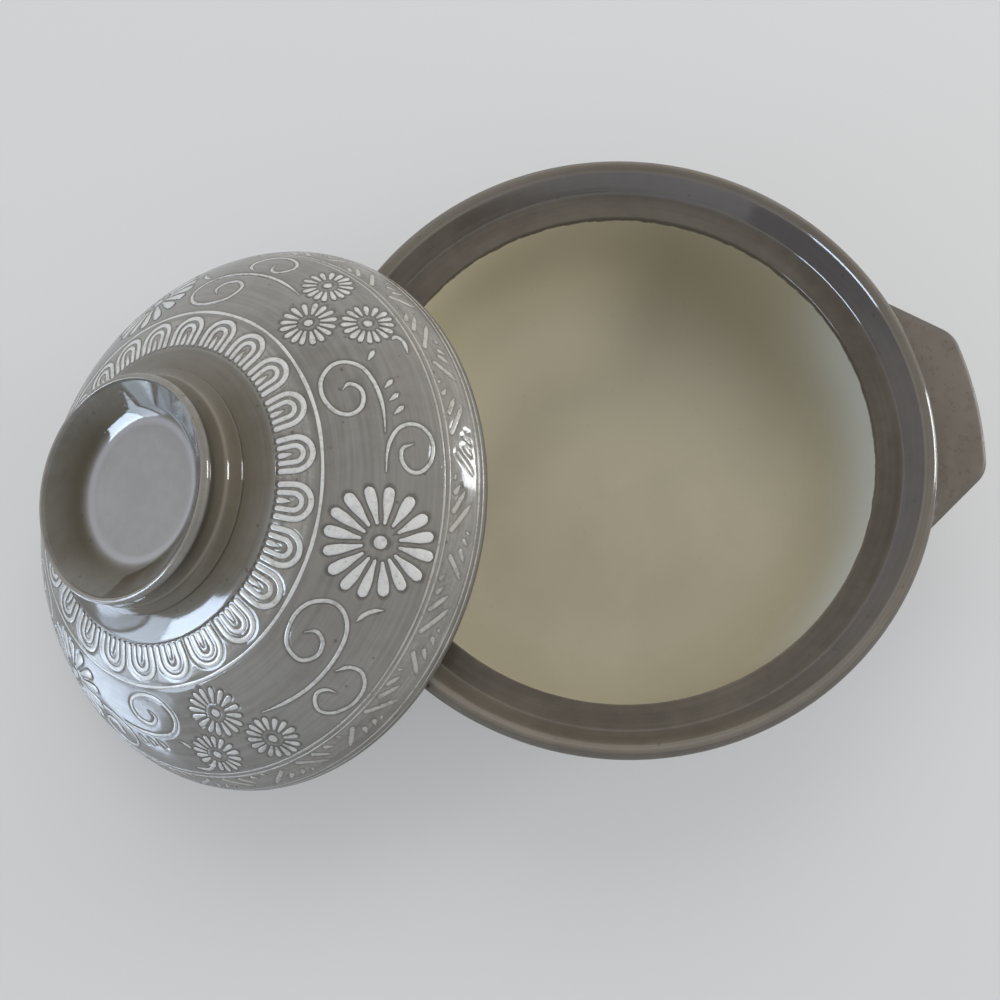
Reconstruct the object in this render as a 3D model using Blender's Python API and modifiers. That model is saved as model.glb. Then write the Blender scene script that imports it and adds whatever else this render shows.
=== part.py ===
"""Stoneware casserole with two lugs, and its lid leaning on the rim.

The pot stands on the ground plane with its axis on Z and its lugs along X. The lid
is off: its edge stands on the ground beside the pot and leans on the pot's lip,
over the lug at -X. Lengths are in metres.
"""

import math

import bmesh
import bpy
import numpy as np

# Pot
LIP_RADIUS = 0.135  # widest radius, at the lip
RIM_HEIGHT = 0.0985  # crest of the lip above the ground
LIP_ROLL = 0.0032  # radius of the rounded lip
LIP_WIDTH = 0.0112  # wall between the outside and the gallery
BAND_DEPTH = 0.0105  # upright band on the outside, down from the crest
BAND_SET_IN = 0.0006  # foot of the band, in from the lip
BASE_RADIUS = 0.080  # flat foot
BASE_EDGE = 0.003  # rounding of the foot
FLOOR_THICK = 0.0095
FLOOR_RADIUS = 0.058  # flat middle of the floor
FLOOR_SWEEP = 0.0025  # how fast the floor turns up
WALL_THICK = 0.0125  # bowl's wall, low on the belly

# Gallery: the ledge inside the lip that the lid rests on
GALLERY_DEPTH = 0.0127  # crest of the lip down to the ledge
GALLERY_LEDGE = 0.0120  # width of the ledge
GALLERY_FILLET = 0.0022
LEDGE_NOSE = 0.0015  # rounding of the ledge's inner edge
LEDGE_FACE = 0.0045  # height of the ledge's inner face
LEDGE_UNDERCUT = 0.0006  # how far the bowl stands back under the nose

# Lugs
LUG_REACH = 0.0235  # how far a lug stands out past the lip
LUG_ROOT = 0.0944  # width where a lug leaves the wall
LUG_TIP = 0.065  # width of the outer edge before its corners are rounded
LUG_CORNER = 0.0135  # radius of those corners
LUG_THICK = 0.011
LUG_DROP = 0.0105  # crest of the lip down to a lug's top
LUG_EDGE = 0.003  # rounding of a lug's edges

# Lid
LID_PLAY = 0.0016  # clearance around the lid in the gallery
LID_EDGE_ROLL = 0.0030  # radius of the lid's rounded edge
LID_THICK = 0.0065
SKIRT_SPREAD = 0.0151  # skirt's foot, out from the knob's widest radius
SKIRT_HEIGHT = 0.0622  # height of that line above the lid's edge
SKIRT_STEP = 0.0006  # the skirt stands proud of the dome
SKIRT_HOLLOW = 0.0011  # how far the skirt sinks between its ends
KNOB_SEAT_RISE = 0.0060  # skirt's foot up to the knob's seat

# Knob: a turned ring with a dished top
KNOB_RADIUS = 0.0472  # widest, at its lip
KNOB_HEIGHT = 0.0162  # seat to crest
KNOB_LIP = 0.0024  # radius of the rolled lip
KNOB_RIM_WIDTH = 0.0050  # lip's outside to its inner edge
KNOB_FOOT_SPREAD = 0.0038  # foot, out from the lip
KNOB_BEAD_SPREAD = 0.0006  # bead above the foot, out from the lip
KNOB_BEAD_HEIGHT = 0.0058
KNOB_WAIST_SET_IN = 0.0034  # waist under the lip, in from the lip
KNOB_WAIST_HEIGHT = 0.0092
DISH_RADIUS = 0.029  # flat middle of the dish
DISH_FLOOR = 0.0036  # seat up to the middle of the dish

# How the lid leans
LEAN_CONTACT = math.radians(50)  # lid's highest edge point to where it meets the lip
LEAN_TURN = math.radians(0.8)  # the lid leans a little off the lugs' line
TOUCH_GAP = 0.0004  # left where the lid meets the lip and the ground
SEAM_GAP = 0.0003  # left between clay pieces that were luted together

# Fullness of the curves, as shares of their own width and height
BELLY_UPPER = 0.215
BELLY_LOWER = 0.66
BELLY_FLARE = 0.20
BOWL_RISE = 0.50
CROWN_REACH = 0.427
CROWN_FALL = 0.108
EDGE_RISE = 0.339
DISH_REACH = 0.55
DISH_RISE = 0.45

GALLERY_RADIUS = LIP_RADIUS - LIP_WIDTH
LEDGE_HEIGHT = RIM_HEIGHT - GALLERY_DEPTH
LID_RADIUS = GALLERY_RADIUS - LID_PLAY
SKIRT_RADIUS = KNOB_RADIUS + SKIRT_SPREAD
KNOB_FOOT_RADIUS = KNOB_RADIUS + KNOB_FOOT_SPREAD
KNOB_SEAT = SKIRT_HEIGHT + KNOB_SEAT_RISE

TURN_STEPS = 64
KNOB_STEPS = 44
CURVE_STEPS = 9  # points on a long curve of a profile
ROUND_STEPS = 3  # points on a rounded edge
BOW_STEPS = 6  # stretches of a lug's outer edge
MERGE = 0.00001

PARTS = "donabe_casserole"
CUTTERS = "donabe_cutters"


def clear_scene():
    for item in list(bpy.data.objects):
        bpy.data.objects.remove(item, do_unlink=True)
    for name in (PARTS, CUTTERS):
        old = bpy.data.collections.get(name)
        if old:
            bpy.data.collections.remove(old)
        bpy.context.scene.collection.children.link(bpy.data.collections.new(name))


def material(name, colour, roughness):
    made = bpy.data.materials.new(name)
    made.use_nodes = True
    shader = made.node_tree.nodes["Principled BSDF"]
    shader.inputs["Base Color"].default_value = (*colour, 1.0)
    shader.inputs["Roughness"].default_value = roughness
    shader.inputs["Metallic"].default_value = 0.0
    made.diffuse_color = (*colour, 1.0)
    return made


def arc(centre, radius, start, end, steps=ROUND_STEPS):
    """Points on a round stretch of a profile, from one angle to another in degrees."""
    angles = [math.radians(start + (end - start) * i / steps) for i in range(steps + 1)]
    return [(centre[0] + radius * math.cos(a), centre[1] + radius * math.sin(a)) for a in angles]


def bezier(start, lead, trail, end, steps=CURVE_STEPS):
    """Points on a cubic curve, without its first point."""
    points = []
    for i in range(1, steps + 1):
        t = i / steps
        weights = ((1 - t) ** 3, 3 * t * (1 - t) ** 2, 3 * t * t * (1 - t), t ** 3)
        points.append(tuple(
            sum(w * p[axis] for w, p in zip(weights, (start, lead, trail, end)))
            for axis in (0, 1)
        ))
    return points


def turned(name, profile, steps, collection):
    """A solid turned about Z from a profile that ends on the axis at both ends."""
    mesh = bpy.data.meshes.new(name)
    points = [(r, 0.0, z) for r, z in profile]
    mesh.from_pydata(points, [(i, i + 1) for i in range(len(points) - 1)], [])
    item = bpy.data.objects.new(name, mesh)
    bpy.data.collections[collection].objects.link(item)
    screw = item.modifiers.new("turn", "SCREW")
    screw.axis = "Z"
    screw.angle = math.tau
    screw.steps = steps
    screw.render_steps = steps
    screw.use_merge_vertices = True
    screw.merge_threshold = MERGE
    screw.use_smooth_shade = True
    return item


def belly():
    """Control points of the pot's outer curve, from the band under the lip to the foot."""
    band = (LIP_RADIUS - BAND_SET_IN, RIM_HEIGHT - BAND_DEPTH)
    foot = (BASE_RADIUS, BASE_EDGE)
    reach = band[0] - foot[0]
    drop = band[1] - foot[1]
    upper = (band[0] - BELLY_UPPER * reach, band[1] - BELLY_UPPER * drop)
    lower = (foot[0] + BELLY_LOWER * reach, foot[1] + BELLY_FLARE * drop)
    return band, upper, lower, foot


def lip_centre():
    return LIP_RADIUS - LIP_ROLL, RIM_HEIGHT - LIP_ROLL


def pot_outside(allowance=0.0):
    """Outer side of the pot, from the lip's crest down to the middle of the foot."""
    curve = belly()
    points = arc(lip_centre(), LIP_ROLL, 90, 0)
    points.append(curve[0])
    points += bezier(*curve)
    points += arc((BASE_RADIUS - BASE_EDGE, BASE_EDGE), BASE_EDGE, -20, -90, 2)
    return [(r + allowance, z) for r, z in points] + [(0.0, 0.0)]


def pot_inside():
    """Inner side of the pot, from the middle of the floor up to the lip's crest."""
    nose = GALLERY_RADIUS - GALLERY_LEDGE
    start = (FLOOR_RADIUS, FLOOR_THICK)
    shoulder = (nose - LEDGE_UNDERCUT, LEDGE_HEIGHT - LEDGE_FACE)
    points = [(0.0, FLOOR_THICK), start]
    points += bezier(
        start,
        (belly()[2][0] - WALL_THICK, FLOOR_THICK + FLOOR_SWEEP),
        (shoulder[0], FLOOR_THICK + BOWL_RISE * (LEDGE_HEIGHT - FLOOR_THICK)),
        shoulder,
    )
    points += arc((nose + LEDGE_NOSE, LEDGE_HEIGHT - LEDGE_NOSE), LEDGE_NOSE, 180, 90, 2)
    fillet = (GALLERY_RADIUS - GALLERY_FILLET, LEDGE_HEIGHT + GALLERY_FILLET)
    points += arc(fillet, GALLERY_FILLET, -90, -15)
    return points + arc(lip_centre(), LIP_ROLL, 205, 120)


def make_pot():
    pot = turned("pot_body", pot_inside() + pot_outside(), TURN_STEPS, PARTS)
    pot.data.materials.append(material("pot_glaze", (0.115, 0.098, 0.076), 0.22))
    return pot


def rounded(corners, steps):
    """A closed outline whose corners are rounded by the radius given with each."""
    points = []
    count = len(corners)
    for i, (x, y, radius) in enumerate(corners):
        here = np.array((x, y))
        back = np.array(corners[i - 1][:2]) - here
        ahead = np.array(corners[(i + 1) % count][:2]) - here
        if radius == 0:
            points.append((x, y))
            continue
        back /= np.linalg.norm(back)
        ahead /= np.linalg.norm(ahead)
        half = math.acos(float(np.dot(back, ahead))) / 2
        leg = radius / math.tan(half)
        start = here + back * leg
        end = here + ahead * leg
        middle = back + ahead
        centre = here + middle / np.linalg.norm(middle) * radius / math.sin(half)
        first = math.atan2(*(start - centre)[::-1])
        sweep = (math.atan2(*(end - centre)[::-1]) - first + math.pi) % math.tau - math.pi
        for step in range(steps + 1):
            angle = first + sweep * step / steps
            points.append((centre[0] + radius * math.cos(angle), centre[1] + radius * math.sin(angle)))
    return points


def lug_outline():
    """A lug seen from above; it starts inside the wall and its outer edge bows with the pot."""
    tip = LIP_RADIUS + LUG_REACH
    half = math.asin(LUG_TIP / 2 / tip)
    corner = tip * math.cos(half)
    slope = (LUG_ROOT - LUG_TIP) / 2 / (corner - LIP_RADIUS)
    spread = LUG_ROOT / 2 + slope * LIP_WIDTH
    turns = [half * (2 * i / BOW_STEPS - 1) for i in range(1, BOW_STEPS)]
    return rounded([
        (GALLERY_RADIUS, -spread, 0),
        (corner, -LUG_TIP / 2, LUG_CORNER),
        *((tip * math.cos(a), tip * math.sin(a), 0) for a in turns),
        (corner, LUG_TIP / 2, LUG_CORNER),
        (GALLERY_RADIUS, spread, 0),
    ], 5)


def slab(name, outline, thickness):
    """A flat solid mesh from a closed outline, half of it above z = 0."""
    curve = bpy.data.curves.new(name, "CURVE")
    curve.dimensions = "2D"
    curve.fill_mode = "BOTH"
    curve.extrude = thickness / 2
    spline = curve.splines.new("POLY")
    spline.points.add(len(outline) - 1)
    for point, (x, y) in zip(spline.points, outline):
        point.co = (x, y, 0.0, 1.0)
    spline.use_cyclic_u = True
    plan = bpy.data.objects.new(name + "_plan", curve)
    bpy.data.collections[PARTS].objects.link(plan)
    mesh = bpy.data.meshes.new_from_object(plan.evaluated_get(bpy.context.evaluated_depsgraph_get()))
    bpy.data.objects.remove(plan, do_unlink=True)
    work = bmesh.new()
    work.from_mesh(mesh)
    bmesh.ops.remove_doubles(work, verts=work.verts, dist=MERGE)
    bmesh.ops.recalc_face_normals(work, faces=work.faces)
    work.to_mesh(mesh)
    work.free()
    return mesh


def make_lug(name, side, cutter):
    """One lug, cut to fit the pot's wall; side is +1 at +X and -1 at -X."""
    mesh = slab(name, lug_outline(), LUG_THICK)
    lug = bpy.data.objects.new(name, mesh)
    bpy.data.collections[PARTS].objects.link(lug)
    lug.location = (0.0, 0.0, RIM_HEIGHT - LUG_DROP - LUG_THICK / 2)
    lug.rotation_euler = (0.0, 0.0, 0.0 if side > 0 else math.pi)
    crease = math.radians(50)
    edge = lug.modifiers.new("edges", "BEVEL")
    edge.width = LUG_EDGE
    edge.segments = 3
    edge.limit_method = "ANGLE"
    edge.angle_limit = crease
    fit = lug.modifiers.new("fit", "BOOLEAN")
    fit.operation = "DIFFERENCE"
    fit.solver = "EXACT"
    fit.object = cutter
    mesh.shade_smooth()
    mesh.set_sharp_from_angle(angle=crease)
    mesh.materials.clear()
    mesh.materials.append(material(name + "_glaze", (0.125, 0.104, 0.080), 0.24))
    return lug


def make_wall_cutter():
    """The pot's outer shape, grown by the seam, which the lugs are cut with."""
    top = [(0.0, RIM_HEIGHT)]
    cutter = turned("wall_cutter", top + pot_outside(SEAM_GAP * 1.2), TURN_STEPS, CUTTERS)
    cutter.hide_render = True
    cutter.display_type = "WIRE"
    return cutter


def lid_outside():
    """Outer side of the lid, from the knob's seat down to its edge."""
    seat_edge = (KNOB_FOOT_RADIUS + SEAM_GAP, KNOB_SEAT)
    skirt_foot = (SKIRT_RADIUS, SKIRT_HEIGHT + SKIRT_STEP)
    width = skirt_foot[0] - seat_edge[0]
    fall = seat_edge[1] - skirt_foot[1]
    points = [(0.0, KNOB_SEAT), seat_edge]
    points += bezier(
        seat_edge,
        (seat_edge[0] + width / 3, seat_edge[1] - fall / 3 - SKIRT_HOLLOW),
        (skirt_foot[0] - width / 3, skirt_foot[1] + fall / 3 - SKIRT_HOLLOW),
        skirt_foot,
        5,
    )
    crown = (SKIRT_RADIUS, SKIRT_HEIGHT)
    edge = (LID_RADIUS, LID_EDGE_ROLL)
    reach = edge[0] - crown[0]
    rise = crown[1] - edge[1]
    points.append(crown)
    points += bezier(
        crown,
        (crown[0] + CROWN_REACH * reach, crown[1] - CROWN_FALL * rise),
        (edge[0], edge[1] + EDGE_RISE * rise),
        edge,
        CURVE_STEPS + 2,
    )
    return points


def lid_inside():
    """Inner side of the lid, from its edge up to the middle of its hollow."""
    edge = (LID_RADIUS - 2 * LID_EDGE_ROLL, LID_EDGE_ROLL)
    crown = (SKIRT_RADIUS - LID_THICK / 2, SKIRT_HEIGHT - LID_THICK)
    reach = edge[0] - crown[0]
    rise = crown[1] - edge[1]
    middle = KNOB_SEAT - LID_THICK
    points = bezier(
        edge,
        (edge[0], edge[1] + EDGE_RISE * rise),
        (crown[0] + CROWN_REACH * reach, crown[1] - CROWN_FALL * rise),
        crown,
    )
    return points + [(crown[0] / 2, (crown[1] + 3 * middle) / 4), (0.0, middle)]


def make_lid(parent):
    roll = arc((LID_RADIUS - LID_EDGE_ROLL, LID_EDGE_ROLL), LID_EDGE_ROLL, 0, -180, 2 * ROUND_STEPS)
    lid = turned("lid_dome", lid_outside() + roll[1:] + lid_inside(), TURN_STEPS, PARTS)
    lid.parent = parent
    lid.data.materials.append(material("lid_glaze", (0.215, 0.195, 0.170), 0.20))
    return lid


def make_knob(parent):
    """Turned knob: a foot with a bead, a waist, a rolled lip and a dished top."""
    dish = (DISH_RADIUS, DISH_FLOOR)
    inner = (KNOB_RADIUS - KNOB_RIM_WIDTH, KNOB_HEIGHT - 0.6 * KNOB_LIP)
    waist = (KNOB_RADIUS - KNOB_WAIST_SET_IN, KNOB_WAIST_HEIGHT)
    bead = (KNOB_RADIUS + KNOB_BEAD_SPREAD, KNOB_BEAD_HEIGHT)
    points = [(0.0, DISH_FLOOR), dish]
    points += bezier(
        dish,
        (dish[0] + DISH_REACH * (inner[0] - dish[0]), dish[1]),
        (inner[0], dish[1] + DISH_RISE * (inner[1] - dish[1])),
        inner,
        6,
    )
    points += arc((KNOB_RADIUS - KNOB_LIP, KNOB_HEIGHT - KNOB_LIP), KNOB_LIP, 130, -30, 6)
    points += [waist, bead, (KNOB_FOOT_RADIUS, SEAM_GAP), (0.0, SEAM_GAP)]
    knob = turned("lid_knob", points, KNOB_STEPS, PARTS)
    knob.parent = parent
    knob.location = (0.0, 0.0, KNOB_SEAT)
    knob.data.materials.append(material("knob_glaze", (0.205, 0.180, 0.152), 0.18))
    return knob


def lean_against_lip(lean):
    """Where a lid tilted by lean meets the lip: its shift along X and the contact's angle.

    Both rounded edges are tubes round a circle. The lid comes in from -X with the
    lowest point of its edge on the ground until the tubes are one gap apart.
    """
    tube_radius = LID_RADIUS - LID_EDGE_ROLL
    around = np.linspace(0.0, math.pi, 721)
    side = tube_radius * np.sin(around)
    forward = tube_radius * math.cos(lean) * np.cos(around)
    height = TOUCH_GAP + LID_EDGE_ROLL + tube_radius * math.sin(lean) * (1 + np.cos(around))
    lip_radius, lip_height = lip_centre()
    wanted = LID_EDGE_ROLL + LIP_ROLL + TOUCH_GAP

    def nearest(shift):
        apart = np.hypot(np.hypot(forward + shift, side) - lip_radius, height - lip_height)
        closest = int(np.argmin(apart))
        return apart[closest] - wanted, around[closest]

    step = 0.001
    outside = -(LIP_RADIUS + LID_RADIUS)
    while nearest(outside + step)[0] > 0 and outside < 0:
        outside += step
    inside = outside + step
    for _ in range(40):
        middle = (outside + inside) / 2
        if nearest(middle)[0] > 0:
            outside = middle
        else:
            inside = middle
    return outside, nearest(outside)[1]


def lean_angle():
    """Tilt at which the lid meets the lip at the contact angle, found by halving."""
    low = math.asin(min(1.0, (RIM_HEIGHT + LID_EDGE_ROLL) / (2 * LID_RADIUS)))
    high = math.radians(80)
    for _ in range(40):
        middle = (low + high) / 2
        if lean_against_lip(middle)[1] < LEAN_CONTACT:
            low = middle
        else:
            high = middle
    return (low + high) / 2


def make_lid_pose():
    """Empties that turn the lid about the pot's axis, and lean it on the lip."""
    turn = bpy.data.objects.new("lid_turn", None)
    turn.rotation_euler = (0.0, 0.0, LEAN_TURN)
    lean = lean_angle()
    shift = lean_against_lip(lean)[0]
    pose = bpy.data.objects.new("lid_pose", None)
    pose.parent = turn
    tube_height = TOUCH_GAP + LID_EDGE_ROLL + (LID_RADIUS - LID_EDGE_ROLL) * math.sin(lean)
    pose.location = (
        shift + LID_EDGE_ROLL * math.sin(lean),
        0.0,
        tube_height - LID_EDGE_ROLL * math.cos(lean),
    )
    pose.rotation_euler = (0.0, -lean, 0.0)
    for empty in (turn, pose):
        empty.empty_display_size = 0.03
        bpy.data.collections[PARTS].objects.link(empty)
    print(f"lid leans {math.degrees(lean):.2f} degrees, its edge's centre at {tuple(pose.location)}")
    return pose


def main():
    clear_scene()
    make_pot()
    cutter = make_wall_cutter()
    make_lug("lug_right", 1, cutter)
    make_lug("lug_left", -1, cutter)
    pose = make_lid_pose()
    make_lid(pose)
    make_knob(pose)
    bpy.context.view_layer.update()


main()
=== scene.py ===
"""Looks of a stoneware casserole: a brown glazed pot with a celadon bowl, and its inlaid lid."""

import math

import bpy
import numpy as np
from mathutils import Euler, Matrix, Vector, kdtree


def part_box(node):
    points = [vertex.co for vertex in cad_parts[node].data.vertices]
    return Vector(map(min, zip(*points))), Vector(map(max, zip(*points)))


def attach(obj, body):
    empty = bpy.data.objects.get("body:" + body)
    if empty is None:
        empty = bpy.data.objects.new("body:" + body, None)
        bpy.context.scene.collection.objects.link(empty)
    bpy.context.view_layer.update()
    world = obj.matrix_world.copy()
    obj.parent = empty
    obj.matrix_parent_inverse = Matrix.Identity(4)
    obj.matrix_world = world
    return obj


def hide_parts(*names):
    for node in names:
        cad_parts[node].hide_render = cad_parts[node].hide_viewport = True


bl_info = {
    "name": "Inlaid stoneware casserole",
    "version": (1, 0, 0),
    "blender": (4, 5, 0),
    "location": "View3D > Sidebar > Casserole",
    "description": "Builds a glazed casserole and its lid with a pattern of inlaid white slip",
    "category": "Object",
}

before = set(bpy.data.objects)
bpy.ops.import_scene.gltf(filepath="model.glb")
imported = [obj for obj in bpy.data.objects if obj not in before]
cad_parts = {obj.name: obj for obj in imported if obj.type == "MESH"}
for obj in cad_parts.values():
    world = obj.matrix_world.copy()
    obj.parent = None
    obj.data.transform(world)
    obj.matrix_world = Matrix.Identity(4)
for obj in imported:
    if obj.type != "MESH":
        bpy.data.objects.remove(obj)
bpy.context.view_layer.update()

MM = 0.001
_, POT_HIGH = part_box("pot_body")
LUG_LOW, LUG_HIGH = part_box("lug_right")


def linear(red, green, blue):
    """A scene colour from a screen colour in 0 to 255."""
    shares = (red / 255, green / 255, blue / 255)
    return tuple(v / 12.92 if v <= 0.04045 else ((v + 0.055) / 1.055) ** 2.4 for v in shares)


def node_points(name):
    """The different corner points of a CAD node."""
    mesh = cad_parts[name].data
    points = np.zeros(len(mesh.vertices) * 3)
    mesh.vertices.foreach_get("co", points)
    return np.unique(points.reshape(-1, 3).round(6), axis=0)


def lid_place():
    """The lid's own frame: Z along its axis, X towards the highest point of its edge."""
    dome = node_points("lid_dome")
    axis = node_points("lid_knob").mean(0) - dome.mean(0)
    axis /= np.linalg.norm(axis)
    centre = dome.mean(0) + axis * ((dome @ axis).min() - dome.mean(0) @ axis)
    uphill = np.array((0.0, 0.0, 1.0)) - axis * axis[2]
    uphill /= np.linalg.norm(uphill)
    across = np.cross(axis, uphill)
    place = Matrix(np.column_stack((uphill, across, axis)).tolist()).to_4x4()
    place.translation = Vector(centre)
    return place


LID_PLACE = lid_place()


def lid_points(name):
    """The corner points of a CAD node in the lid's own frame."""
    return (node_points(name) - np.array(LID_PLACE.translation)) @ np.array(LID_PLACE.to_3x3())


LID_RADIUS = float(np.hypot(*lid_points("lid_dome")[:, :2].T).max())
KNOB_HEIGHTS = lid_points("lid_knob")[:, 2]


# Properties

def length(name, description, default):
    """A size in metres."""
    return bpy.props.FloatProperty(
        name=name, description=description, default=default, unit="LENGTH", subtype="DISTANCE", precision=5
    )


def degrees(name, description, default):
    """An angle, with its default in degrees."""
    return bpy.props.FloatProperty(
        name=name, description=description, default=math.radians(default), subtype="ANGLE"
    )


def colour(name, description, default):
    """A colour, with its default as a scene colour."""
    return bpy.props.FloatVectorProperty(
        name=name, description=description, default=default, subtype="COLOR", min=0.0, max=1.0
    )


def amount(name, description, default):
    """A plain number."""
    return bpy.props.FloatProperty(name=name, description=description, default=default)


def count(name, description, default):
    """A whole number of like things."""
    return bpy.props.IntProperty(name=name, description=description, default=default, min=1)


class DonabePotSizes(bpy.types.PropertyGroup):
    lip_radius: length("Lip radius", "Widest radius of the pot", POT_HIGH.x)
    rim_height: length("Rim height", "Crest of the lip above the table", POT_HIGH.z)
    gallery_radius: length("Gallery radius", "Foot of the gallery's wall", 0.1238)
    gallery_depth: length("Gallery depth", "Crest of the lip down to the ledge", 0.0127)
    ledge_width: length("Ledge width", "Width of the ledge that carries the lid", 0.0120)
    floor_thick: length("Floor thickness", "Clay under the bowl's floor", 0.0095)
    floor_radius: length("Floor radius", "Flat middle of the bowl's floor", 0.058)
    base_radius: length("Base radius", "Radius of the flat foot", 0.080)
    wall_thick: length("Wall thickness", "Wall low on the belly", 0.0125)
    glaze_line: length("Glaze line", "Height where the bowl's pale glaze starts", 0.0830)
    bare_foot: length("Bare foot", "Height up to which the foot is unglazed", 0.0035)
    lug_thick: length("Lug thickness", "Thickness of a lug", LUG_HIGH.z - LUG_LOW.z)
    lug_tip: length("Lug tip", "Width of a lug's outer edge", 0.065)
    lug_root: length("Lug root", "Width of a lug at the lip", 0.0944)
    lug_corner: length("Lug corner", "Radius of a lug's corners", 0.0135)
    lug_hollow: length("Lug root curve", "Radius of the hollow curve where a lug leaves the wall", 0.009)
    lug_edge: length("Lug edge", "Radius that rounds a lug's edges", 0.0024)
    lug_fillet: length("Lug fillet", "Radius of the smoothed clay above and below a lug", 0.0026)


class DonabeLidSizes(bpy.types.PropertyGroup):
    radius: length("Lid radius", "Widest radius of the lid", LID_RADIUS)
    thick: length("Lid thickness", "Thickness of the dome", 0.0065)
    edge_roll: length("Edge roll", "Radius of the lid's rounded edge", 0.0030)
    skirt_radius: length("Skirt radius", "Where the skirt meets the dome", 0.0623)
    skirt_height: length("Skirt height", "Height of that line above the edge", 0.0622)
    skirt_step: length("Skirt step", "How far the skirt stands proud", 0.0006)
    skirt_hollow: length("Skirt hollow", "How far the skirt sinks between its ends", 0.0011)
    knob_seat: length("Knob seat", "Height of the knob's seat", float(KNOB_HEIGHTS.min()))
    knob_top: length("Knob top", "Height of the knob's crest", float(KNOB_HEIGHTS.max()))
    knob_radius: length("Knob radius", "Radius of the knob's lip", 0.0472)
    knob_foot: length("Knob foot", "Radius of the knob's foot on the skirt", 0.0512)
    knob_dish: length("Dish radius", "Flat middle of the knob's dish", 0.0305)
    knob_lean_x: length("Knob lean, uphill", "How far the knob's lip sits off the lid's axis", -0.0013)
    knob_lean_y: length("Knob lean, across", "How far the knob's lip sits off the lid's axis", -0.00085)


class DonabePattern(bpy.types.PropertyGroup):
    arches: count("Arches", "Arches stamped round the skirt", 24)
    petals: count("Petals", "Petals of each flower", 16)
    hatches: count("Hatches", "Groups of strokes in the outer band", 18)
    dent: length("Dent depth", "How deep the stamps are pressed", 0.00040)
    margin: length("Dent margin", "Bare dent left round the slip", 0.00028)
    slope: length("Dent slope", "Width of the dent's rounded wall", 0.00075)
    crown: length("Slip crown", "Top of the slip against the clay", 0.0)
    sink: length("Slip sink", "How far the slip falls to its edges", 0.00022)


class DonabeColours(bpy.types.PropertyGroup):
    clay: colour("Lid glaze", "Grey clay under clear glaze", linear(131, 128, 122))
    clay_dark: colour("Lid glaze, dark", "Where the glaze is thick", linear(103, 99, 92))
    # the dark of the dents and specks; also painted shade in creases and on the lid's rolled edge
    glaze_pool_and_shade: colour("Glaze pool", "Glaze gathered in the dents", linear(70, 66, 59))
    slip: colour("Slip", "White slip under the glaze", linear(202, 201, 197))
    slip_rubbed: colour("Rubbed slip", "Slip of the finer lines, rubbed back", linear(193, 191, 186))
    slip_thin: colour("Thin slip", "Slip worn thin", linear(170, 166, 157))
    brown: colour("Brown glaze", "Thick glaze on the knob's neck and its skirt", linear(84, 76, 60))
    olive: colour("Olive glaze", "Where the glaze ran down the dish's wall", linear(72, 65, 49))
    dish: colour("Dish glaze", "Greyer glaze on the floor of the knob's dish", linear(156, 154, 155))
    rim: colour("Rim glaze", "Brown-grey glaze of the pot", linear(98, 91, 81))
    # also the painted shade along the lugs' rounded edges
    rim_dark: colour("Rim glaze, dark", "Where that glaze is thick", linear(76, 69, 60))
    # a painted reflection of the left window, on the side of the gallery wall that faces it
    rim_window_sheen: colour("Rim glaze, blue", "Where it pooled on the wall above the ledge", linear(106, 104, 108))
    rim_pale: colour("Rim glaze, pale", "Where it runs thin on an edge", linear(136, 128, 116))
    bowl: colour("Bowl glaze", "Khaki celadon glaze", linear(179, 171, 147))
    # smoke in the glaze, and painted shade high on the wall at the back
    bowl_smoke_and_shade: colour("Bowl glaze, smoked", "Smoky patches of that glaze", linear(136, 129, 104))
    # painted light: the wall at the back left painted lighter, as if more light fell there
    bowl_lit_side: colour("Bowl glaze, light", "Where it ran thin high on the wall", linear(222, 212, 182))
    # a painted reflection of the left window on the wall at the right, under the ledge
    bowl_window_sheen: colour("Bowl glaze, thin", "Where it ran thin under the ledge", linear(194, 196, 190))
    bare: colour("Bare clay", "Unglazed foot", linear(176, 150, 120))


class DonabeStage(bpy.types.PropertyGroup):
    floor: colour("Floor", "Colour of the table", linear(205, 205, 205))
    evenness: amount("Evenness", "Share of the table's look that shadows leave alone", 0.47)
    room: colour("Room", "Light that comes from all round", linear(209, 212, 217))
    horizon: colour("Horizon", "What the glaze mirrors low in the room", linear(244, 246, 248))
    ceiling: colour("Ceiling", "What the glaze mirrors overhead", linear(140, 140, 142))
    camera: bpy.props.FloatVectorProperty(
        name="Camera", description="Where the camera stands", default=(-0.0626, -0.1634, 0.6189),
        subtype="TRANSLATION", unit="LENGTH", precision=4,
    )
    tilt: degrees("Tilt", "Camera's tilt forward from straight down", 15.375)
    lean: degrees("Lean", "Camera's tilt to the side", 1.223)
    turn: degrees("Turn", "Camera's turn about the vertical", -7.291)
    lens: amount("Lens", "Focal length in millimetres", 45.85)


GROUPS = {
    "donabe_pot": DonabePotSizes,
    "donabe_lid": DonabeLidSizes,
    "donabe_pattern": DonabePattern,
    "donabe_colours": DonabeColours,
    "donabe_stage": DonabeStage,
}


# Curves and profiles

def moved(point, out, up):
    """A point of a profile, moved by millimetres."""
    return (point[0] + out * MM, point[1] + up * MM)


def arc(centre, radius, start, end, steps):
    """Points on a round stretch of a profile, from one angle to another in degrees."""
    angles = np.radians(np.linspace(start, end, steps + 1))
    return [(centre[0] + radius * math.cos(a), centre[1] + radius * math.sin(a)) for a in angles]


def bezier(start, lead, trail, end, steps):
    """Points on a cubic curve, without its first point."""
    t = np.linspace(0, 1, steps + 1)[1:, None]
    points = np.array((start, lead, trail, end))
    curve = (1 - t) ** 3 * points[0] + 3 * t * (1 - t) ** 2 * points[1]
    curve = curve + 3 * t * t * (1 - t) * points[2] + t ** 3 * points[3]
    return [tuple(p) for p in curve]


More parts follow.
